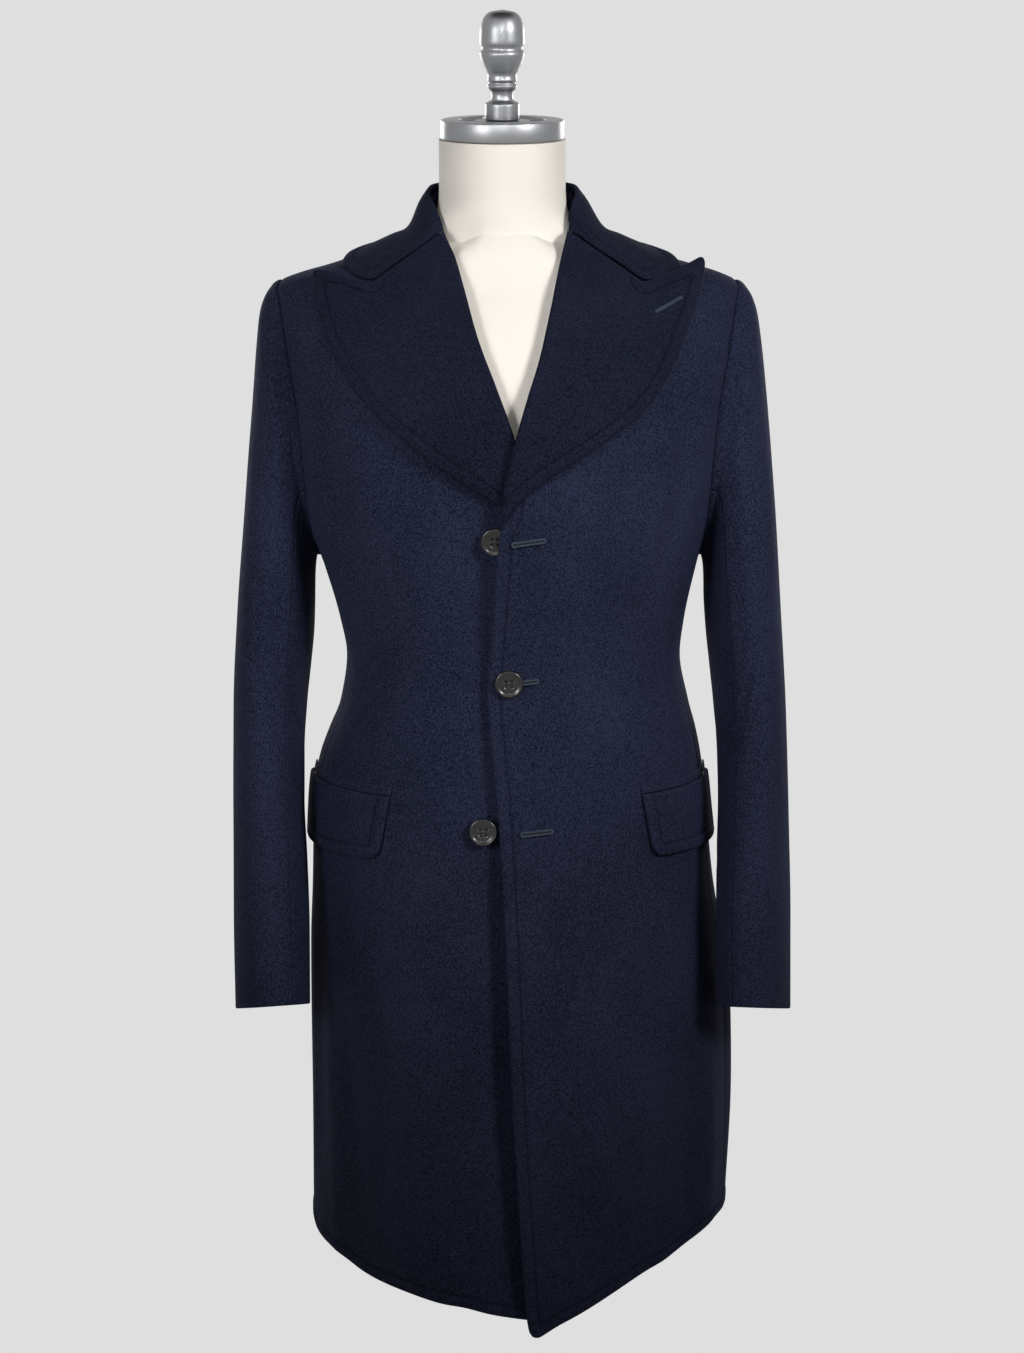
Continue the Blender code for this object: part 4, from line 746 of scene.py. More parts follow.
def make_back(side, wool):
    sign = SIGNS[side]

    def inner(v):
        return np.full_like(v, sign * 180.0), rise(v, HEM_BACK, NECKLINE)

    def bottom(u):
        return sign * (180.0 + (SEAM_BACK - 180.0) * u), np.full_like(u, HEM_BACK)

    def outer(v):
        return outer_border(v, sign, 360.0 - SIDE_SEAM_TURN, HEM_BACK, SEAM_BACK)

    def top(u):
        return shoulder_border(u, sign, sign * 180.0, BACK_NECK_SHARE)

    place = patch(bottom, top, inner, outer, PANEL_HOLD)
    u = stations(BACK_WIDTH, SEAM_STEPS, SEAM_STEPS, GRID)
    u = np.unique(np.append(u, BACK_NECK_SHARE))
    name = "back_" + side
    piece = shell(name + "_cloth", lambda u, v, out: on_body(*place(u, v), out), u,
                  panel_rows(STITCHED_STEPS), wool, lies=-WALL, edges="bottom", seams="left right top",
                  relief=body_creases)
    finish_cloth(piece, name)


def make_side(side, wool):
    sign = SIGNS[side]
    low = float(hem_height(side, on_body(sign * SEAM_FRONT, HEM_BACK)[..., 0]))

    def surface(u, v, out):
        top_turn, top_height = armhole(SIDE_SEAM_TURN + (360.0 - 2 * SIDE_SEAM_TURN) * u)
        foot_turn = SEAM_FRONT + (SEAM_BACK - SEAM_FRONT) * u
        foot = low + (HEM_BACK - low) * u
        turn = foot_turn + (top_turn - foot_turn) * v ** SIDE_SPREAD
        return on_body(sign * turn, foot + (top_height - foot) * v, out)

    u = stations(SIDE_WIDTH, SEAM_STEPS, SEAM_STEPS, GRID)
    v = stations(0.70, STITCHED_STEPS, SEAM_STEPS, GRID)
    name = "side_" + side
    piece = shell(name + "_cloth", surface, u, v, wool, lies=-WALL, edges="bottom", seams="left right top",
                  relief=body_creases)
    finish_cloth(piece, name)


# Sleeves

SLEEVE_AT = {"left": curves(SLEEVE_LEFT, SLEEVE_COLUMNS), "right": curves(SLEEVE_RIGHT, SLEEVE_COLUMNS)}
SEAM_AROUND = (118.2, 276.9)     # front and back seams of the sleeve, round it from its outer line
SLEEVE_RISE = 0.0008             # the sleeve leaves the armhole this far out
HEAD_STEPS = 7
SLEEVE_LENGTH = 0.62
# Each row: turns at both ends, the shares of the sleeve's length where they are, half width, depth.
SLEEVE_CREASES = {
    "left": (
        (150.0, 70.0, 0.62, 0.50, 14.0, -0.0030), (160.0, 60.0, 0.78, 0.62, 15.0, -0.0026),
        (60.0, 45.0, 0.98, 0.30, 24.0, 0.0020), (105.0, 110.0, 0.55, 0.12, 10.0, -0.0030),
        (290.0, 215.0, 0.44, 0.36, 14.0, -0.0035), (300.0, 205.0, 0.60, 0.50, 16.0, -0.0030),
    ),
    "right": (
        (155.0, 75.0, 0.66, 0.55, 14.0, -0.0030), (150.0, 65.0, 0.52, 0.43, 13.0, -0.0022),
        (62.0, 48.0, 0.98, 0.28, 24.0, 0.0020), (108.0, 104.0, 0.60, 0.12, 10.0, -0.0028),
        (285.0, 210.0, 0.47, 0.38, 14.0, -0.0032), (295.0, 215.0, 0.64, 0.55, 16.0, -0.0028),
    ),
}


def sleeve_ring(side, along, around):
    """Points of a sleeve's outer face, by share of its length and turn about it."""
    row = {name: column(along) for name, column in SLEEVE_AT[side].items()}
    outer_share, forward = (1.0 + np.cos(np.radians(around))) / 2.0, np.sin(np.radians(around))
    x = mix(row["inner_x"], row["outer_x"], outer_share) - row["swing"] * forward
    z = mix(row["inner_z"], row["outer_z"], outer_share) + row["rise"] * forward
    return vectors(SIGNS[side] * x, row["middle_y"] - row["half_depth"] * forward, z)


def sleeve_surface(side, around, along):
    """Rings of a whole sleeve: a rounded head from the armhole, then those of its table."""
    sign = SIGNS[side]
    first = SLEEVE_LEFT[0][0]
    turn, height = armhole(around)
    start = on_body(sign * turn, height, SLEEVE_RISE - WALL)
    outward_way = on_body(sign * turn, height, 0.010) - on_body(sign * turn, height)
    end = sleeve_ring(side, first, around)
    end_way = (sleeve_ring(side, first + 0.01, around) - end) / 0.01 * first * 0.7
    s = np.clip(along / first, 0.0, 1.0)[..., None]
    head = (start * (1 + 2 * s) * (1 - s) ** 2 + outward_way * 1.3 * s * (1 - s) ** 2
            + end * s * s * (3 - 2 * s) - end_way * s * s * (1 - s))
    rest = sleeve_ring(side, np.maximum(along, first), around)
    return np.where((along <= first)[..., None], head, rest)


def make_sleeve(side, wool):
    first = SLEEVE_LEFT[0][0]
    head = first * (np.arange(HEAD_STEPS) / HEAD_STEPS) ** 1.2
    rest = first + (1.0 - first) * stations(SLEEVE_LENGTH * 0.95, (0.0,), STITCHED_STEPS[:6], GRID)
    along = np.concatenate([head, rest])
    front, back = SEAM_AROUND
    cuts = {"top_sleeve_": (back, 360.0 + front, 0.20), "under_sleeve_": (front, back, 0.17)}
    for name, (start, end, width) in cuts.items():
        around = start + (end - start) * stations(width, SEAM_STEPS, SEAM_STEPS, GRID * 0.8)
        grid_around, grid_along = np.meshgrid(around, along)
        base = sleeve_surface(side, grid_around, grid_along)
        ways = tube_normals(base)
        if (ways[:, :, 0].mean() < 0) == (side == "left") and name == "top_sleeve_":
            ways = -ways
        if (ways[:, :, 0].mean() > 0) == (side == "left") and name == "under_sleeve_":
            ways = -ways
        relief = np.zeros(grid_around.shape)
        for low, high, from_share, to_share, width_turn, size in SLEEVE_CREASES[side]:
            share = (grid_along - to_share) / (from_share - to_share)
            line = mix(high, low, share)
            away = (grid_around - line + 180.0) % 360.0 - 180.0
            relief += (size * np.exp(-(away / width_turn) ** 2)
                       * ease(share / 0.25 + 0.5) * ease((1.0 - share) / 0.25 + 0.5))
        cuff = distance_to(base, base[-1])
        sewn = np.minimum(distance_to(base, base[:, 0]), distance_to(base, base[:, -1]))
        kept = rounding(sewn, ROUND_SEAM) * rounding(cuff, ROUND_EDGE)
        kept = kept * rounding(distance_to(base, base[0]), ROUND_SEAM)
        relief *= ease(sewn / 0.02)
        outer = base + ways * (relief - WALL / 2 + WALL / 2 * kept)[..., None]
        inner = base + ways * (relief - WALL / 2 - WALL / 2 * kept)[..., None]
        piece = add_shell(name + side + "_cloth", outer, inner, wool, {"edge": cuff + 1.0, "seam": sewn})
        size, area = ((0.24, 0.70), 0.136) if name == "top_sleeve_" else ((0.19, 0.60), 0.095)
        finish_cloth(piece, name + side)


def tube_normals(points):
    """Unit normals of a grid of points."""
    round_way = np.gradient(points, axis=1)
    along_way = np.gradient(points, axis=0)
    return unit(np.cross(round_way, along_way))


# Lapels and collar

RIDGE_HEIGHTS = np.linspace(0.985, SHOULDER_TOP, 400)
NOSE = 0.0042            # radius of the lapel's rolled edge
NOSE_STEPS = (0.0, 0.0003, 0.0009, 0.0018, 0.003, 0.0044, 0.0062, 0.009)
DOUBLE_EDGE = 0.0024     # a free edge of two layers is rounded over this width
GORGE_EDGE = 0.0016      # and a lapel's seam with the collar over this width
LAPEL_WIDTH = 0.13
LAPEL_HEIGHT = 0.27
LAPEL_BELLY = 0.0045     # the middle of a lapel's edge stands off the chest this much more
PEAK_RADIUS = 0.009      # reach of the rounding of a peak's tip
LEAF_END_DROP = 0.0045   # the leaf's fold dips to the lapel's roll at its front end
LEAF_END = 0.05


def ridge_height(x):
    """Height of the shoulder's ridge above a point."""
    heights = {}
    for name in ("left", "right"):
        across = BODY_AT[name](RIDGE_HEIGHTS)
        heights[name] = np.interp(-np.abs(x), -across, RIDGE_HEIGHTS)
    return np.where(x >= 0, heights["left"], heights["right"])


def on_front(side, x, height, out):
    """Points over a front, moved straight forward so that they keep their place seen from the front."""
    seated = np.minimum(height, ridge_height(x) - PEAK_CLEAR)
    base = on_body(turn_at_x(x, seated), seated)
    normal = outward(base[..., 0], base[..., 1], seated)
    forward = (out + lift_at(side, x, seated)) / np.maximum(LEAST_FACING, -normal[..., 1])
    return vectors(x, base[..., 1] - forward + (height - seated) * PEAK_SLOPE, height)


def straight(table, column):
    """Function of a place that reads a column of a table along straight lines between its rows."""
    return lambda place: np.interp(place, [row[0] for row in table], [row[column] for row in table])


def make_lapel(side, wool):
    edge = curves(LAPEL_EDGE_LEFT if side == "left" else LAPEL_EDGE_RIGHT, LAPEL_COLUMNS)
    top_line = LAPEL_TOP_LEFT if side == "left" else LAPEL_TOP_RIGHT
    top_across, top_height = straight(top_line, 1), straight(top_line, 2)
    roll_start = LAPEL_ROLL_BOTTOM[0 if side == "left" else 1]

    def inner(v):
        height = roll_start + (top_line[0][2] - roll_start) * v
        return EDGE_AT[side](height), height

    def outer(v):
        return edge["across"](v), edge["height"](v)

    def bottom(u):
        zero = np.zeros_like(u)
        return tuple(mix(near, far, u) for near, far in zip(inner(zero), outer(zero)))

    def top(u):
        shift = 1.0 - np.minimum(1.0, u / LAPEL_NECK_SHARE)
        start = inner(np.ones_like(u))
        return top_across(u) + (start[0] - top_line[0][1]) * shift, top_height(u)

    place = patch(bottom, top, inner, outer)
    u = stations(LAPEL_WIDTH, NOSE_STEPS, STITCHED_STEPS, 0.005)
    u = np.unique(np.append(u, (0.5, 0.75)))
    v = stations(LAPEL_HEIGHT, SEAM_STEPS, STITCHED_STEPS, 0.005)
    us, vs = round_corner(*np.meshgrid(u, v), (1, 1), (LAPEL_WIDTH, LAPEL_HEIGHT), PEAK_RADIUS)
    x, height = place(us, vs)
    lies = LAPEL_LIES + LAPEL_RISES * ease((height - LAPEL_RISE_FROM) / LAPEL_RISE_OVER)
    lies = lies + LAPEL_BELLY * ease(us / 0.9) * ease(vs / 0.25) * ease((1.0 - vs) / 0.35)
    wall = WALL + (DOUBLE_WALL - WALL) * ease(vs / LAPEL_WHOLE)
    base = on_front(side, x, height, np.zeros_like(x))
    free = np.minimum(distance_to(base, base[:, -1]), distance_to(base, base[-1][u >= 0.5]))
    sewn = np.minimum(distance_to(base, base[-1][u <= 0.5]), distance_to(base, base[0]))
    roll = distance_to(base, base[:, 0])
    kept = rounding(free, DOUBLE_EDGE) * rounding(sewn, GORGE_EDGE)
    nose = rounding(roll, NOSE)
    high = lies + wall
    low = mix(lies, -WALL, 1.0 - ease((roll - 0.0030) / 0.0025))
    middle = mix((high + low) / 2.0, lies + wall / 2.0, ease(roll / 0.006))
    finish = stitched(free) * kept * ease(roll / 0.02)
    top_out = middle + (high - middle) * kept * nose + finish
    under_out = middle - (middle - low) * kept * nose
    outer_points = on_front(side, x, height, top_out)
    inner_points = on_front(side, x, height, under_out)
    name = "lapel_" + side
    piece = add_shell(name + "_cloth", outer_points, inner_points, wool, {"edge": free, "seam": sewn})
    finish_cloth(piece, name)


FOLD_AT = curves(FOLD, FOLD_COLUMNS)
LEAF_LINES = tuple(curves(line, LEAF_COLUMNS) for line in (LEAF_BASE, LEAF_NOTCH, LEAF_EDGE))
LEAF_LIES = 0.0010       # air under the collar leaf


def fold_points(turn):
    x = np.where(turn >= 0, FOLD_AT["left"](np.abs(turn)), FOLD_AT["right"](np.abs(turn)))
    return vectors(x, FOLD_AT["y"](np.abs(turn)), FOLD_AT["height"](np.abs(turn)))


def from_neck(points):
    """Level unit directions away from the neck's centre."""
    x, y = points[..., 0], points[..., 1]
    return unit(vectors(x - NECK_CENTRE[0], y - NECK_CENTRE[1], 0.0 * x))


def make_collar_stand(wool):
    def surface(u, v, out):
        turn = 2.0 * u - 1.0
        sign = np.where(turn < 0, -1.0, 1.0)
        along = 1.0 - np.abs(turn)
        turn = sign * (STAND_STARTS + (180.0 - STAND_STARTS) * along)
        low = on_body(turn, NECKLINE) + np.array((0, 0, STAND_ABOVE_SEAM))
        high = fold_points(turn)
        away = from_neck(high)
        high = high - np.array((0, 0, STAND_UNDER_FOLD)) - away * STAND_INSET
        return mix(low, high, v[..., None]) + away * np.asarray(out)[..., None]

    u = np.linspace(0.0, 1.0, 101)
    v = np.linspace(0.0, 1.0, 9)
    piece = shell("collar_stand_cloth", surface, u, v, wool, lies=-WALL, seams="left right bottom top")
    finish_cloth(piece, "collar_stand")


def make_collar_leaf(wool):
    """The leaf runs from its fold over a rounded shoulder down onto the coat's shoulders."""
    shares = np.unique(np.concatenate([stations(0.48, STITCHED_STEPS, STITCHED_STEPS, 0.004), (0.5,)]))
    sign = np.where(shares <= 0.5, -1.0, 1.0)
    along = np.where(shares <= 0.5, shares * 2.0, (1.0 - shares) * 2.0)
    fold = fold_points(sign * (FOLD[0][0] + (180.0 - FOLD[0][0]) * along))
    away = from_neck(fold)
    fold = fold - (1.0 - ease(along / LEAF_END))[:, None] * (away * 0.001 + np.array((0, 0, LEAF_END_DROP)))

    def on_line(line, out):
        turn, height = sign * line["turn"](along), line["height"](along)
        point = on_body(turn, height)
        normal = outward(point[..., 0], point[..., 1], height)
        forward = vectors(0.0 * turn, -1.0 / np.maximum(LEAST_FACING, -normal[..., 1]), 0.0 * turn)
        return point + mix(forward, normal, ease(along / LEAF_FRONT)[..., None]) * out

    def layer(out):
        base, notch, edge = (on_line(line, LEAF_LIES + DOUBLE_WALL + out) for line in LEAF_LINES)
        top = fold + np.array((0, 0, 0.5 * out)) + away * (LEAF_TOP_OUT + out)
        rounded = mix(fold, base, LEAF_SHOULDER) + away * (LEAF_FULLNESS + LEAF_SHOULDER_WALL * out)
        return [top, rounded, base, mix(base, notch, 0.5), notch, edge]

    lines = {0.0: layer(0.0), 1.0: layer(-DOUBLE_WALL)}
    down = stations(0.065, SEAM_STEPS, STITCHED_STEPS, 0.003)
    places = np.cumsum([0.0] + [float(np.linalg.norm(a - b, axis=-1).mean())
                                for a, b in zip(lines[0.0], lines[0.0][1:])])
    places = places / places[-1]

    def grid(stack):
        stack = np.stack(stack)
        rows = []
        for share in down:
            k = int(np.clip(np.searchsorted(places, share, side="right") - 1, 0, len(places) - 2))
            s = (share - places[k]) / (places[k + 1] - places[k])
            before, after = stack[max(k - 1, 0)], stack[min(k + 2, len(places) - 1)]
            a, b = stack[k], stack[k + 1]
            gap = places[k + 1] - places[k]
            gap_before = places[k] - places[max(k - 1, 0)] + gap
            gap_after = places[min(k + 2, len(places) - 1)] - places[k + 1] + gap
            tangent_a, tangent_b = (b - before) * gap / gap_before, (after - a) * gap / gap_after
            rows.append(a * (1 + 2 * s) * (1 - s) ** 2 + tangent_a * s * (1 - s) ** 2
                        + b * s * s * (3 - 2 * s) - tangent_b * s * s * (1 - s))
        return np.stack(rows)

    top, under = grid(lines[0.0]), grid(lines[1.0])
    middle = (top + under) / 2.0
    free = np.minimum(distance_to(middle, middle[-1]), np.minimum(
        distance_to(middle, middle[:, 0]), distance_to(middle, middle[:, -1])))
    roll = distance_to(middle, middle[0])
    kept = rounding(free, DOUBLE_EDGE) * rounding(roll, DOUBLE_EDGE)
    normal = unit(top - under)
    finish = stitched(free) * kept * ease((np.linspace(0, 1, len(down))[:, None] - 0.25) / 0.2)
    outer = middle + (top - middle) * kept[..., None] + normal * finish[..., None]
    inner = middle - (middle - under) * kept[..., None]
    piece = add_shell("collar_leaf_cloth", outer, inner, wool, {"edge": free, "seam": roll + 1.0})
    finish_cloth(piece, "collar_leaf")


# Pockets


def flap_place(side, u, v):
    """Turn and height on a flap, from its front end and its lower edge."""
    sign = SIGNS[side]
    low = mix(FLAP_BOTTOM[0], FLAP_BOTTOM[1], u)
    high = mix(FLAP_TOP[0], FLAP_TOP[1], u)
    height = mix(low, high, v)
    start = turn_at_x(sign * mix(FLAP_FRONT_BOTTOM[side], FLAP_FRONT_TOP[side], v), height)
    return start + (sign * FLAP_TURN_END - start) * u, height


def make_flap(side, wool):
    def surface(u, v, out):
        near_end = np.minimum(np.minimum(u, 1.0 - u) * FLAP_LENGTH, FLAP_CORNER)
        drop = FLAP_CORNER - np.sqrt(FLAP_CORNER ** 2 - (FLAP_CORNER - near_end) ** 2)
        lifted = v + (1.0 - v) * drop / FLAP_HEIGHT
        return on_body(*flap_place(side, u, lifted), out + FLAP_FLARE * (1.0 - v))

    u = stations(FLAP_LENGTH, STITCHED_STEPS, STITCHED_STEPS, 0.004)
    v = stations(FLAP_HEIGHT, STITCHED_STEPS, SEAM_STEPS, 0.003)
    name = "pocket_flap_" + side
    piece = shell(name + "_cloth", surface, u, v, wool, wall=FLAP_WALL, lies=LAY, edges="left right bottom",
                  seams="top", relief=body_creases)
    finish_cloth(piece, name)


def make_jetting(side, wool):
    def surface(u, v, out):
        turn, height = flap_place(side, u, np.ones_like(u))
        return on_body(turn, height + JETTING_ABOVE_FLAP + JETTING_HEIGHT * v, out)

    u = stations(FLAP_LENGTH, SEAM_STEPS, SEAM_STEPS, 0.005)
    v = np.linspace(0.0, 1.0, 13)
    name = "pocket_jetting_" + side
    piece = shell(name + "_cloth", surface, u, v, wool, wall=JETTING_WALL + 0.0006, lies=0.0002,
                  seams="left right bottom top", relief=body_creases)
    finish_cloth(piece, name)


# The dress form and its stand

THROAT_OUT = 0.0100      # how far the hollow of the throat comes out to meet the neck ...
THROAT_FROM = 0.985      # ... from this height up
THROAT_OVER = 0.05
THROAT_TURN = 12.0       # it is whole up to this turn ...
THROAT_FADE = 18.0       # ... and gone this much further on
FORM_CLEAR_AT = curve(*list(zip(*FORM_CLEAR)))


def make_form(canvas):
    """Smooth torso and neck inside the coat, closed at both ends."""
    turns = np.linspace(-180.0, 180.0, 161)[:-1]
    heights = np.concatenate([np.linspace(FORM_BOTTOM, 0.96, 81), np.linspace(0.964, 1.036, 31)])
    turn, height = np.meshgrid(turns, heights)
    beside = ease((np.abs(np.abs(turn) - 90.0) - RIDGE_TURN) / HOLLOW_TURN)
    beside = beside * ease((height - HOLLOW_FROM) / HOLLOW_OVER)
    throat = ease((height - THROAT_FROM) / THROAT_OVER)
    throat = throat * (1.0 - ease((np.abs(turn) - THROAT_TURN) / THROAT_FADE))
    clear = FORM_CLEAR_AT(height) + FORM_SHOULDER_HOLLOW * beside - THROAT_OUT * throat
    body = on_body(turn, height, -clear)
    neck_heights = np.array([row[0] for row in NECK] + [NECK_TOP])
    half_x = curve(neck_heights, [row[1] for row in NECK] + [NECK_RADIUS])
    half_y = curve(neck_heights, [row[2] for row in NECK] + [NECK_RADIUS])
    level = np.linspace(neck_heights[0], NECK_TOP, 28)[:, None]
    y = -half_y(level) * np.cos(np.radians(turns))[None]
    x = half_x(level) * np.sin(np.radians(turns))[None]
    slope = math.tan(CAP_TILT) * ease((level - 1.06) / (NECK_TOP - 1.06))
    neck = vectors(NECK_CENTRE[0] + x, NECK_CENTRE[1] + y, level + slope * y)
    grid = np.concatenate([body, neck])
    rows, columns = grid.shape[:2]
    points = grid.reshape(-1, 3).tolist()
    faces = [[r * columns + c, r * columns + (c + 1) % columns, (r + 1) * columns + (c + 1) % columns,
              (r + 1) * columns + c] for r in range(rows - 1) for c in range(columns)]
    faces += [list(range(columns)), list(range((rows - 1) * columns, rows * columns))]
    mesh = bpy.data.meshes.new("form_torso_cloth")
    mesh.from_pydata(points, [], faces)
    if signed_volume(mesh) < 0.0:
        mesh.flip_normals()
    mesh.shade_smooth()
    mesh.set_sharp_from_angle(angle=math.radians(50))
    form = add("form_torso_cloth", mesh, canvas)
    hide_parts("form_torso")
    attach(form, "root")


def turned(name, profile, sides, material, location, tilt=0.0):
    """Solid of revolution about Z through a profile that starts and ends on the axis."""
    points, rings, faces = [], [], []
    for radius, height in profile:
        count = 1 if radius == 0.0 else sides
        rings.append(list(range(len(points), len(points) + count)))
        for k in range(count):
            angle = math.tau * k / sides
            points.append((radius * math.cos(angle), radius * math.sin(angle), height))
    for low, high in zip(rings, rings[1:]):
        for k in range(sides):
            corners = [low[k % len(low)], low[(k + 1) % len(low)],
                       high[(k + 1) % len(high)], high[k % len(high)]]
            faces.append(list(dict.fromkeys(corners)))
    mesh = bpy.data.meshes.new(name)
    mesh.from_pydata(points, [], faces)
    if signed_volume(mesh) < 0.0:
        mesh.flip_normals()
    mesh.shade_smooth()
    mesh.set_sharp_from_angle(angle=math.radians(35))
    return add(name, mesh, material, location, (tilt, 0, 0))


def rounded_profile(profile, steps=5):
    """The same profile read along a smooth curve through its points."""
    heights = [row[1] for row in profile]
    lengths = np.cumsum([0.0] + [math.dist(a, b) for a, b in zip(profile, profile[1:])])
    radius, height = curve(lengths, [row[0] for row in profile]), curve(lengths, heights)
    places = np.concatenate([np.linspace(a, b, steps, endpoint=False) for a, b in zip(lengths, lengths[1:])]
                            + [lengths[-1:]])
    made = [(float(radius(place)), float(height(place))) for place in places]
    return [(0.0, made[0][1])] + [row for row in made if row[0] > 1e-5] + [(0.0, made[-1][1])]


CAP_BEVEL = ((0.0015, 0.0), (0.0004, 0.0005), (0.0, 0.0015))     # inset and height of its rounded rims
CAP_GROOVE = 0.003       # depth of the ring groove in the cap's top
CAP_DISH = 0.001


def make_metal(metal):
    seat = Vector((NECK_CENTRE[0], NECK_CENTRE[1], NECK_TOP + REST))
    t = CAP_THICKNESS
    groove = t - CAP_GROOVE
    cap = ((0.0, 0.0), *((CAP_RADIUS - inset, height) for inset, height in CAP_BEVEL),
           *((CAP_RADIUS - inset, t - height) for inset, height in reversed(CAP_BEVEL)),
           (CAP_RECESS_RADIUS + 0.0005, t), (CAP_RECESS_RADIUS, t - 0.0004),
           (CAP_RECESS_RADIUS - 0.0006, groove),
           (CAP_INNER_RADIUS + 0.0004, groove), (CAP_INNER_RADIUS, t - 0.0028),
           (CAP_INNER_RADIUS - 0.001, t - CAP_DISH), (0.0, t - CAP_DISH))
    piece = turned("neck_cap_metal", cap, 128, metal, seat, CAP_TILT)
    own(piece, "neck_cap")
    up = Vector((0, -math.sin(CAP_TILT), math.cos(CAP_TILT)))
    foot = seat + up * (t - CAP_DISH + REST)
    piece = turned("neck_knob_metal", rounded_profile(KNOB), 96, metal, foot, CAP_TILT)
    own(piece, "neck_knob")
    base = [(radius * BASE_RADIUS, height) for radius, height in BASE_PROFILE]
    own(turned("stand_base_metal", base, 128, metal, (0, 0, 0)), "stand_base")
    low, high = BASE_PROFILE[-1][1] + REST, FORM_BOTTOM - REST
    pole = ((0.0, low), (POLE_RADIUS, low), (POLE_RADIUS, high), (0.0, high))
    own(turned("stand_pole_metal", pole, 64, metal, (0, 0, 0)), "stand_pole")


def own(piece, node):
    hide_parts(node)
    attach(piece, "root")


# Buttons

def facing_of(x, height):
    point = on_body(turn_at_x(np.array(x), np.array(height)), np.array(height))
    return Vector(outward(point[..., 0], point[..., 1], np.array(height)))


# The button's outline, as shares of its radius and of its thickness.
BUTTON_PROFILE = (
    (0.0, 0.0), (0.80, 0.0), (0.93, 0.10), (0.985, 0.30), (1.0, 0.52), (0.985, 0.76), (0.945, 0.93),
    (0.89, 1.0), (0.83, 0.96), (0.77, 0.80), (0.70, 0.68), (0.55, 0.63), (0.0, 0.62),
)


def make_button(name, x, height, horn, thread):
    """Four-hole horn button with a raised, rounded rim; its back lies where the solid's does."""
    r, t = BUTTON_RADIUS, BUTTON_THICKNESS
    profile = [(share * r, rise_share * t) for share, rise_share in BUTTON_PROFILE]
    facing = facing_of(x, height)
    low, high = (Vector(corner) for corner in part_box("button_" + name))
    seat = (low + high) / 2.0 - facing * t / 2.0
    button = turned("button_" + name + "_horn", profile, 64, horn, seat)
    button.rotation_euler = facing.to_track_quat("Z", "Y").to_euler()
    cut_holes(button)
    make_button_thread(name, button, thread)
    own(button, "button_" + name)


# Buttonholes and thread

CORD_SIDES = 8
TWIST = 0.0011           # length of one turn of the buttonhole's thread
HOLE_HALF_WIDTH = 0.0016
HOLE_THREAD = 0.0009
EYE_RADIUS = 0.0021
SLIT_RADIUS = 0.0007
# The buttonholes of the left front, from the eye at the front end: x and height of both ends.
BUTTONHOLES = (
    ("top", 0.0040, 0.7735, 0.0325, 0.7775),
    ("middle", 0.0010, 0.6455, 0.0265, 0.6485),
    ("bottom", 0.0120, 0.5120, 0.0400, 0.5145),
)
LAPEL_HOLE = (0.1290, 0.9700, 0.1525, 0.9815)
HOLE_STEP = 0.0004


def cord(name, points, normals, radii, material, flat=1.0, closed=False):
    """Round cord along a line of points; flat presses it towards the cloth."""
    ahead = np.roll(points, -1, axis=0) - np.roll(points, 1, axis=0)
    if not closed:
        ahead[0], ahead[-1] = points[1] - points[0], points[-1] - points[-2]
    across = unit(np.cross(ahead, normals))
    up = unit(np.cross(across, ahead))
    angles = np.arange(CORD_SIDES) * math.tau / CORD_SIDES
    radii = np.broadcast_to(radii, len(points))[:, None, None]
    ring = points[:, None] + radii * (across[:, None] * np.cos(angles)[:, None]
                                      + flat * up[:, None] * np.sin(angles)[:, None])
    count = len(points)
    faces = [(k * CORD_SIDES + j, k * CORD_SIDES + (j + 1) % CORD_SIDES,
              (k + 1) % count * CORD_SIDES + (j + 1) % CORD_SIDES, (k + 1) % count * CORD_SIDES + j)
             for k in range(count if closed else count - 1) for j in range(CORD_SIDES)]
    if not closed:
        faces += [tuple(range(CORD_SIDES)), tuple(range((count - 1) * CORD_SIDES, count * CORD_SIDES))]
    mesh = bpy.data.meshes.new(name)
    mesh.from_pydata(ring.reshape(-1, 3).tolist(), [], faces)
    if signed_volume(mesh) < 0.0:
        mesh.flip_normals()
    mesh.shade_smooth()
    piece = add(name, mesh, material)
    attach(piece, "root")
    return piece


def laid_on(along, across, start, way, lies):
    """Points of the left front's face: along a line from its start, and across it."""
    x = start[0] + along * way[0] - across * way[1]
    height = start[1] + along * way[1] + across * way[0]
    above = np.full_like(x, lies + 0.01)
    return on_front("left", x, height, np.full_like(x, lies)), on_front("left", x, height, above)


def sewn_line(name, along, across, line, lies, radii, material, flat, closed):
    start, end = np.array(line[:2]), np.array(line[2:])
    points, above = laid_on(along, across, start, (end - start) / math.dist(start, end), lies)
    cord(name, points, above - points, radii, material, flat, closed)


def twisted(along, across, radius):
    """Radius of a thread that is wound round and round itself."""
    steps = np.hypot(np.diff(along, append=along[0]), np.diff(across, append=across[0]))
    return radius * (1.0 + 0.16 * np.sin(np.cumsum(steps) * math.tau / TWIST))


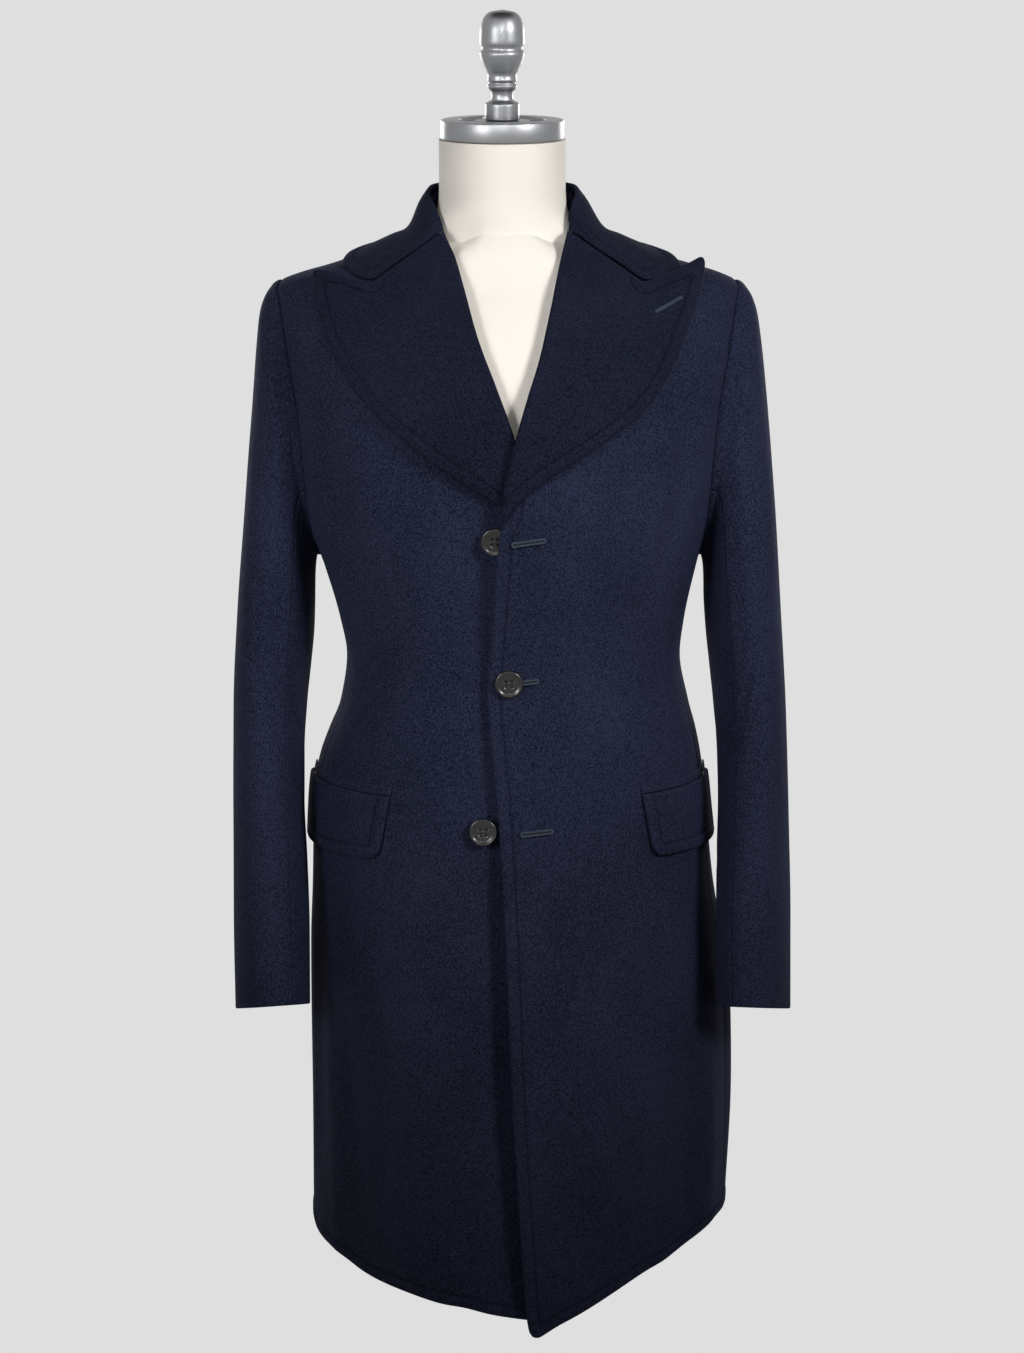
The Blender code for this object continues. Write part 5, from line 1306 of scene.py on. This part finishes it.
def make_buttonholes(thread, dark):
    """Keyhole buttonholes of the left front: a corded rim round a slit with an eye, the slit drawn as painted
    shade.
    """
    for name, *line in BUTTONHOLES:
        length = math.dist(line[:2], line[2:])
        turn = np.linspace(-2.45, 2.45, 24)
        back = np.arange(EYE_RADIUS * 2.0, length, HOLE_STEP)
        along = np.concatenate([EYE_RADIUS - EYE_RADIUS * np.cos(turn), back, [length], back[::-1]])
        across = np.concatenate([EYE_RADIUS * np.sin(turn), 0.0 * back + HOLE_HALF_WIDTH, [0.0],
                                 0.0 * back - HOLE_HALF_WIDTH])
        sewn_line("buttonhole_" + name, along, across, line, WALL + 0.0003,
                  twisted(along, across, HOLE_THREAD), thread, 0.7, True)
        # The slit and its eye are a dark cord laid on the cloth: painted shade in the cut.
        slit = np.linspace(EYE_RADIUS * 0.2, length - HOLE_THREAD, 40)
        wide = SLIT_RADIUS + (EYE_RADIUS * 0.55 - SLIT_RADIUS) * ease((EYE_RADIUS * 2.4 - slit) / EYE_RADIUS)
        sewn_line("buttonhole_slit_shade_" + name, slit, 0.0 * slit, line, WALL + 0.0001, wide, dark, 0.4, False)


def make_lapel_hole(thread):
    """The lapel's buttonhole, worked shut: two cords side by side, barred at both ends."""
    length = math.dist(LAPEL_HOLE[:2], LAPEL_HOLE[2:])
    back = np.arange(0.0, length, HOLE_STEP)
    half = HOLE_THREAD * 0.8
    along = np.concatenate([back, [length], back[::-1], [0.0]])
    across = np.concatenate([0.0 * back + half, [0.0], 0.0 * back - half, [0.0]])
    lies = LAPEL_LIES + LAPEL_RISES * ease((LAPEL_HOLE[1] - LAPEL_RISE_FROM) / LAPEL_RISE_OVER) + DOUBLE_WALL
    sewn_line("lapel_buttonhole", along, across, LAPEL_HOLE, lies + 0.0012,
              twisted(along, across, HOLE_THREAD * 0.75), thread, 0.6, True)


def cut_holes(button):
    """Cuts the button's four holes through it."""
    work = bmesh.new()
    for x in (-1, 1):
        for y in (-1, 1):
            made = bmesh.ops.create_cone(work, cap_ends=True, segments=20, radius1=BUTTON_HOLE_RADIUS,
                                         radius2=BUTTON_HOLE_RADIUS, depth=3 * BUTTON_THICKNESS)
            bmesh.ops.translate(work, verts=made["verts"],
                                vec=(x * BUTTON_HOLE_SPACING, y * BUTTON_HOLE_SPACING, 0))
    mesh = bpy.data.meshes.new("holes")
    work.to_mesh(mesh)
    work.free()
    cutter = bpy.data.objects.new("holes", mesh)
    cutter.location, cutter.rotation_euler = button.location, button.rotation_euler
    bpy.context.scene.collection.objects.link(cutter)
    cut = button.modifiers.new("holes", "BOOLEAN")
    cut.object = cutter
    seen = button.evaluated_get(bpy.context.evaluated_depsgraph_get())
    holed = bpy.data.meshes.new_from_object(seen)
    button.modifiers.clear()
    button.data = holed
    bpy.data.objects.remove(cutter, do_unlink=True)


def make_button_thread(name, button, thread):
    """Two bars of thread from hole to hole, that go down into the holes."""
    s, t = BUTTON_HOLE_SPACING, BUTTON_THICKNESS
    place = button.matrix_basis
    profile = ((-s, 0.25), (-s, 0.60), (-0.7 * s, 0.74), (0.0, 0.78), (0.7 * s, 0.74), (s, 0.60), (s, 0.25))
    for row, across in (("upper", s), ("lower", -s)):
        points = np.array([place @ Vector((along, across, share * t)) for along, share in profile])
        normals = np.array([place.to_3x3() @ Vector((0, 0, 1))] * len(points))
        normals += 0.01 * np.array(place.to_3x3() @ Vector((1, 0, 0)))
        cord(f"button_thread_{name}_{row}", points, normals, 0.00055, thread)


# Materials

def node_tree(name, slot_colour, roughness, metallic=0.0):
    """A material with its shader, and a function that adds and links nodes."""
    made = bpy.data.materials.new(name)
    made.use_nodes = True
    tree = made.node_tree
    shader = tree.nodes["Principled BSDF"]
    shader.inputs["Base Color"].default_value = (*slot_colour, 1.0)
    shader.inputs["Roughness"].default_value = roughness
    shader.inputs["Metallic"].default_value = metallic

    def node(kind, inputs=None, **settings):
        added = tree.nodes.new(kind)
        for key, value in settings.items():
            setattr(added, key, value)
        for key, value in (inputs or {}).items():
            if isinstance(value, bpy.types.NodeSocket):
                tree.links.new(value, added.inputs[key])
            else:
                added.inputs[key].default_value = value
        return added

    return made, shader, tree, node


def noise(node, scale, detail, **more):
    """Noise over the object's own coordinates, this many times finer by axis; more sets its other inputs."""
    place = node("ShaderNodeTexCoord")
    spot = node("ShaderNodeMapping", {"Vector": place.outputs["Object"], "Scale": scale}).outputs["Vector"]
    settings = {"Vector": spot, "Scale": 1.0, "Detail": detail, **more}
    return node("ShaderNodeTexNoise", settings).outputs["Fac"]


WOOL_DARK = (0.0048, 0.0065, 0.0162)
WOOL_LIGHT = (0.0232, 0.0272, 0.0585)
NAP_TURNED_AND_SHADE = 0.54        # lapels and collar are darker: partly because their nap lies the other way, partly painted shade where they tilt up away from the light
PAINTED_GROOVE_SHADE = 0.42      # painted shade: how much darker the cloth is painted in the groove of its edge stitching ...
PAINTED_GROOVE_SIDE = 0.0021     # ... and how far to each side of it
NAP_SCALE = (950.0, 950.0, 700.0)      # textures: how many times finer than a metre, by axis
TUFT_SCALE = (520.0, 520.0, 390.0)
CLOUD_SCALE = (13.0, 13.0, 8.0)
TUFT_SHARE = 0.26
CLOUD_SHARE = 0.13
CONTRAST = (0.435, 0.565)              # texture values that give the dark and the light colour
NAP_ROUGHNESS = 0.6
NAP_STRENGTH = 0.8
NAP_DEPTH = 0.0012
STREAK_SCALE = (120.0, 320.0, 120.0)   # the horn's streaks
STREAK_BEND = 1.4
STREAKS = (0.58, 0.80)                 # texture values where a streak begins and is whole
HORN_DARK = (0.0050, 0.0046, 0.0045)
HORN_STREAK = (0.050, 0.034, 0.022)
WEAVE_SCALE = (1400.0, 1400.0, 900.0)  # the canvas
WEAVE_STRENGTH = 0.25
WEAVE_DEPTH = 0.0005
BRUSH_SCALE = (40.0, 40.0, 2600.0)     # the metal's turning marks
BRUSHED = (0.30, 0.48)                 # least and most roughness of the metal


def make_wool():
    """Brushed wool: a short nap combed down the cloth, with painted shade in the groove where the edge
    stitching sinks into it.
    """
    made, shader, tree, node = node_tree("navy_wool", (0.013, 0.015, 0.037), 0.92)
    nap = noise(node, NAP_SCALE, 2.0, Roughness=NAP_ROUGHNESS)
    tuft = noise(node, TUFT_SCALE, 3.0, Roughness=NAP_ROUGHNESS)
    wide = noise(node, CLOUD_SCALE, 2.0)
    both = node("ShaderNodeMix", {"Factor": TUFT_SHARE, "A": nap, "B": tuft})
    all_three = node("ShaderNodeMix", {"Factor": CLOUD_SHARE, "A": both.outputs["Result"], "B": wide})
    spread = node("ShaderNodeMapRange", {"Value": all_three.outputs["Result"], "From Min": CONTRAST[0],
                                         "From Max": CONTRAST[1]})
    colour = node("ShaderNodeMix", {"Factor": spread.outputs["Result"], "A": (*WOOL_DARK, 1.0),
                                    "B": (*WOOL_LIGHT, 1.0)}, data_type="RGBA")
    # Painted shade: the colour darkens along the groove of the edge stitching.
    edge = node("ShaderNodeAttribute", attribute_name="edge")
    off = node("ShaderNodeMath", {0: edge.outputs["Fac"], 1: STITCH_LINE}, operation="SUBTRACT")
    away = node("ShaderNodeMath", {0: off.outputs["Value"]}, operation="ABSOLUTE")
    groove = node("ShaderNodeMapRange", {"Value": away.outputs["Value"], "From Min": 0.0,
                                         "From Max": PAINTED_GROOVE_SIDE, "To Min": 1.0 - PAINTED_GROOVE_SHADE,
                                         "To Max": 1.0},
                  interpolation_type="SMOOTHSTEP")
    shaded = node("ShaderNodeVectorMath", {0: colour.outputs["Result"], "Scale": groove.outputs["Result"]},
                  operation="SCALE")
    bump = node("ShaderNodeBump", {"Height": both.outputs["Result"], "Strength": NAP_STRENGTH,
                                    "Distance": NAP_DEPTH})
    tree.links.new(shaded.outputs["Vector"], shader.inputs["Base Color"])
    tree.links.new(bump.outputs["Normal"], shader.inputs["Normal"])
    shader.inputs["Specular IOR Level"].default_value = 0.05
    shader.inputs["Sheen Weight"].default_value = 0.03
    shader.inputs["Sheen Roughness"].default_value = 0.55
    shader.inputs["Sheen Tint"].default_value = (0.25, 0.30, 0.60, 1.0)
    return made


def darker(material, name, share):
    """A darker copy of the cloth: partly for its nap turned the other way, partly painted shade."""
    made = material.copy()
    made.name = name
    for node in made.node_tree.nodes:
        if node.type == "MIX" and node.data_type == "RGBA":
            for socket in ("A", "B"):
                colour = node.inputs[socket].default_value
                node.inputs[socket].default_value = [value * share for value in colour[:3]] + [1.0]
    return made


def make_horn():
    made, shader, tree, node = node_tree("dark_horn", (0.020, 0.017, 0.015), 0.24)
    streaks = noise(node, STREAK_SCALE, 5.0, Distortion=STREAK_BEND)
    ramp = node("ShaderNodeMapRange", {"Value": streaks, "From Min": STREAKS[0], "From Max": STREAKS[1]})
    colour = node("ShaderNodeMix", {"Factor": ramp.outputs["Result"], "A": (*HORN_DARK, 1.0),
                                    "B": (*HORN_STREAK, 1.0)}, data_type="RGBA")
    tree.links.new(colour.outputs["Result"], shader.inputs["Base Color"])
    return made


def make_canvas():
    made, shader, tree, node = node_tree("cream_canvas", (0.77, 0.725, 0.66), 0.85)
    weave = noise(node, WEAVE_SCALE, 2.0)
    bump = node("ShaderNodeBump", {"Height": weave, "Strength": WEAVE_STRENGTH, "Distance": WEAVE_DEPTH})
    tree.links.new(bump.outputs["Normal"], shader.inputs["Normal"])
    shader.inputs["Specular IOR Level"].default_value = 0.2
    return made


def make_brushed_metal():
    made, shader, tree, node = node_tree("brushed_metal", (0.27, 0.275, 0.285), 0.42, 1.0)
    lines = noise(node, BRUSH_SCALE, 3.0)
    rough = node("ShaderNodeMapRange", {"Value": lines, "To Min": BRUSHED[0], "To Max": BRUSHED[1]})
    tree.links.new(rough.outputs["Result"], shader.inputs["Roughness"])
    return made


def make_plain(name, colour, roughness):
    return node_tree(name, colour, roughness)[0]


# Stage, light and camera

GROUND_GLOW = 0.737      # light that the pale ground gives out by itself, as an evenly lit studio does
GROUND_RADIUS = 4.2
GROUND_BEND = 1.4
GROUND_TOP = 6.0


def make_stage():
    """A pale round floor that bends up into a wall all round."""
    profile = [(0.0, 0.0)]
    for k in range(17):
        angle = math.pi / 2.0 * k / 16
        profile.append((GROUND_RADIUS - GROUND_BEND + GROUND_BEND * math.sin(angle),
                        GROUND_BEND - GROUND_BEND * math.cos(angle)))
    profile.append((GROUND_RADIUS, GROUND_TOP))
    sides = 96
    points = [(radius * math.cos(math.tau * k / sides), radius * math.sin(math.tau * k / sides), height)
              for radius, height in profile for k in range(sides)]
    faces = [(r * sides + k, r * sides + (k + 1) % sides,
              (r + 1) * sides + (k + 1) % sides, (r + 1) * sides + k)
             for r in range(1, len(profile) - 1) for k in range(sides)]
    faces.append(tuple(range(sides, 2 * sides)))
    mesh = bpy.data.meshes.new("floor")
    mesh.from_pydata(points, [], faces)
    mesh.flip_normals()
    mesh.shade_smooth()
    ground, shader, _, _ = node_tree("pale_ground", (0.03, 0.03, 0.03), 0.9)
    shader.inputs["Specular IOR Level"].default_value = 0.0
    shader.inputs["Emission Color"].default_value = (1.0, 1.0, 1.0, 1.0)
    shader.inputs["Emission Strength"].default_value = GROUND_GLOW
    floor = add("floor", mesh, ground)
    floor.visible_diffuse = False


def area_light(name, place, target, size, power, spread=180.0):
    light = bpy.data.lights.new(name, "AREA")
    light.shape = "RECTANGLE"
    light.size, light.size_y = size
    light.energy = power
    light.spread = math.radians(spread)
    lamp = bpy.data.objects.new(name, light)
    lamp.location = place
    lamp.rotation_euler = (Vector(target) - Vector(place)).to_track_quat("-Z", "Y").to_euler()
    lamp.visible_camera = False
    bpy.context.scene.collection.objects.link(lamp)


CAMERA_PLACE = (0.0037, -2.09, 1.09)
CAMERA_DOWN = math.radians(12.66)
CAMERA_LENS = 60.0
CAMERA_SENSOR = 36.0

# Lights: name, place, target, size, power in watts, spread in degrees.
LIGHTS = (
    ("left_light", (1.35, -1.40, 1.70), (0.03, 0.0, 0.76), (0.5, 0.5), 2.75, 46.0),
    ("right_light", (-1.10, -1.50, 1.25), (-0.03, 0.0, 0.76), (0.6, 0.6), 1.60, 46.0),
    ("front_light", (0.0, -2.2, 1.75), (0.0, 0.0, 0.73), (0.9, 0.4), 0.45, 42.0),
    ("back_left_light", (0.95, 1.90, 1.15), (0.0, 0.0, 0.70), (0.6, 0.6), 1.50, 46.0),
    ("back_right_light", (-0.95, 1.90, 1.15), (0.0, 0.0, 0.70), (0.6, 0.6), 1.50, 46.0),
    ("neck_light", (0.0, -1.9, 1.60), (0.0, 0.0, 1.13), (0.15, 0.1), 0.05, 14.0),
)
AIR = 0.03               # even light from all round


def make_lights():
    for light in LIGHTS:
        area_light(*light)
    world = bpy.data.worlds.new("studio")
    bpy.context.scene.world = world
    world.use_nodes = True
    background = world.node_tree.nodes["Background"]
    background.inputs["Color"].default_value = (1.0, 1.0, 1.0, 1.0)
    background.inputs["Strength"].default_value = AIR


def make_camera():
    lens = bpy.data.cameras.new("camera")
    lens.lens = CAMERA_LENS
    lens.sensor_width = CAMERA_SENSOR
    camera = bpy.data.objects.new("camera", lens)
    camera.location = CAMERA_PLACE
    camera.rotation_euler = (math.pi / 2.0 - CAMERA_DOWN, 0.0, 0.0)
    bpy.context.scene.collection.objects.link(camera)
    bpy.context.scene.camera = camera


def main():
    bpy.context.scene.view_settings.view_transform = "Standard"
    wool, horn, canvas, metal = make_wool(), make_horn(), make_canvas(), make_brushed_metal()
    # Lapels and collar get a darker copy of the wool: partly their turned nap, partly painted shade.
    turned_shaded_wool = darker(wool, "navy_wool_turned_shaded", NAP_TURNED_AND_SHADE)
    make_form(canvas)
    for side in ("right", "left"):
        make_front(side, wool)
        make_side(side, wool)
        make_back(side, wool)
        make_sleeve(side, wool)
        make_lapel(side, turned_shaded_wool)
        make_flap(side, wool)
        make_jetting(side, wool)
    make_collar_stand(turned_shaded_wool)
    make_collar_leaf(turned_shaded_wool)
    thread = make_plain("teal_thread", (0.0085, 0.0210, 0.0420), 0.8)
    button_thread = make_plain("brown_thread", (0.030, 0.020, 0.014), 0.8)
    slit = make_plain("slit_shadow", (0.0020, 0.0024, 0.0040), 1.0)
    for name, x, height in BUTTONS:
        make_button(name, x, height, horn, button_thread)
    make_buttonholes(thread, slit)
    make_lapel_hole(thread)
    make_metal(metal)
    make_stage()
    make_lights()
    make_camera()


main()
